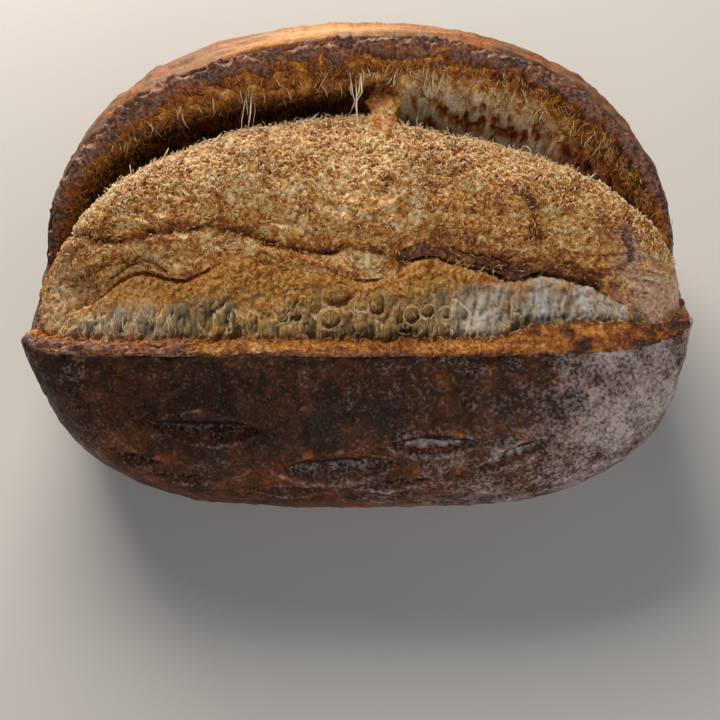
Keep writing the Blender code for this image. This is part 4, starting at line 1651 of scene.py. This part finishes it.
def make_gap_strands(rim, bulge):
    """Strands of crumb on the bloom's edge and across the gap, and threads that hang from the ear."""
    rng = np.random.default_rng(304)
    strands = edge_strands(bulge, rng)
    threads = ear_threads(rim, rng)
    starts, ends = (np.concatenate(both) for both in zip(strands, threads))
    lengths = np.linalg.norm(ends - starts, axis=1)[:, None]
    arches = rng.normal(scale=0.13, size=(len(starts), 3)) * lengths
    widths = np.concatenate(
        [
            rng.uniform(0.00014, 0.00034, LONG_STRANDS),
            rng.uniform(0.00008, 0.00018, SHORT_STRANDS),
            rng.uniform(0.00012, 0.00036, HUNG),
            rng.uniform(0.00018, 0.00042, len(TIES) * TIE_THREADS),
        ]
    )
    values = rng.uniform(-0.15, 0.10, len(starts))
    material = make_fibre_material("gap_strand")
    lay_fibres("gap_strands", (starts, ends, arches), widths, values, material)


def make_torn_flap():
    """A tongue of torn, caramelised skin that joins the ear to the bloom."""
    flap = add_ball("torn_flap", 32, 24)
    side, turn, height = points_of(flap).T
    along = height * 0.5 + 0.5
    x = 0.0085 + side * mix(0.0046, 0.0062, along) + 0.0030 * (along - 0.5)
    y = mix(0.0170, 0.0530, along)
    z = mix(0.0900, 0.0850, along) + 0.0016 * np.sin(math.pi * along) + 0.0016 * turn
    move_points(flap, np.column_stack([x, y, z]))
    face_outwards(flap)
    refine(flap, REFINED)

    points = points_of(flap)
    wrinkles = rough(points, (0.0022, 0.009, 0.009), 111, octaves=3)
    crags = rough(points, 0.004, 112, octaves=3, gain=0.65)
    ragged = np.sign(points[:, 0] - 0.0088) * 0.0016 * rough(points, 0.006, 113, octaves=2)
    points[:, 0] += ragged
    move_points(flap, points)
    lift(flap, 0.0007 * crags + 0.0005 * wrinkles)
    keep_values(flap, "bake", np.clip(0.29 + 0.18 * wrinkles + 0.18 * crags, 0, 1))
    keep_values(flap, "flour", np.zeros(len(points)))
    # Skin that tore and caramelised: golden brown flakes with a little gloss
    material = make_baked_material(
        "torn_skin",
        grain_mm=1.1,
        swing=1.2,
        bump_mm=0.5,
        roughness=0.45,
        specular=0.4,
        curl=1.0,
        flake_mm=1.0,
    )
    finish_piece(flap, material)


make_crust()
torn_rim = make_rim()
golden_bulge = make_bulge()
open_crumb = make_crumb()
make_bloom_fibres("bloom_fibres", golden_bulge, 301, 4400, 0.00027, (-0.04, 0.14))
make_bloom_fibres("bloom_down", golden_bulge, 305, 2400, 0.00018, (0.28, 0.52))
make_torn_fibres(torn_rim)
make_crumb_threads(open_crumb)
make_bubble_rims(open_crumb)
make_gap_strands(torn_rim, golden_bulge)
make_torn_flap()


# Floor, light and camera


def make_floor():
    bpy.ops.object.select_all(action="DESELECT")
    bpy.ops.mesh.primitive_plane_add(size=6, location=(0, 0, 0))
    floor = bpy.context.object
    floor.name = floor.data.name = "floor"
    # Pale, matt table: one even grey, which takes the loaf's soft shadow
    material, _tree, shader = new_material("pale_table", 0.8, 0.2)
    shader.inputs["Base Color"].default_value = linear("#c4c4c4")
    floor.data.materials.append(material)


def add_lamp(name, place, aim, size, power, colour):
    bpy.ops.object.light_add(type="AREA", location=place)
    lamp = bpy.context.object
    lamp.name = name
    lamp.data.shape = "RECTANGLE"
    lamp.data.size, lamp.data.size_y = size
    lamp.data.energy = power
    lamp.data.color = linear(colour)[:3]
    lamp.rotation_euler = (Vector(aim) - Vector(place)).to_track_quat("-Z", "Y").to_euler()


def make_light():
    add_lamp("window", (-0.30, 0.86, 0.55), (0, 0, 0.02), (0.8, 0.7), 21.5, "#fff3e3")
    add_lamp("bright_wall", (0.40, -0.92, 0.54), (0, 0, 0.05), (1.2, 0.4), 7.4, "#f1eee9")
    world = bpy.data.worlds.new("room")
    bpy.context.scene.world = world
    world.use_nodes = True
    background = world.node_tree.nodes["Background"]
    background.inputs["Color"].default_value = linear("#cbd8ef")
    background.inputs["Strength"].default_value = 0.09
    bpy.context.scene.view_settings.view_transform = "Standard"


# What the camera looks at, from how far, how steeply down, and how wide it sees
CAMERA_AIM = (0, -0.0501, 0.063)
CAMERA_DISTANCE = 0.310
CAMERA_ELEVATION = math.radians(62)
CAMERA_ANGLE = math.radians(42)


def make_camera():
    back = Vector((0, -math.cos(CAMERA_ELEVATION), math.sin(CAMERA_ELEVATION)))
    bpy.ops.object.camera_add(location=Vector(CAMERA_AIM) + back * CAMERA_DISTANCE)
    camera = bpy.context.object
    camera.name = "camera"
    camera.data.sensor_fit = "HORIZONTAL"
    camera.data.angle = CAMERA_ANGLE
    camera.data.clip_start = 0.01
    camera.rotation_euler = (-back).to_track_quat("-Z", "Y").to_euler()
    bpy.context.scene.camera = camera


make_floor()
make_light()
make_camera()
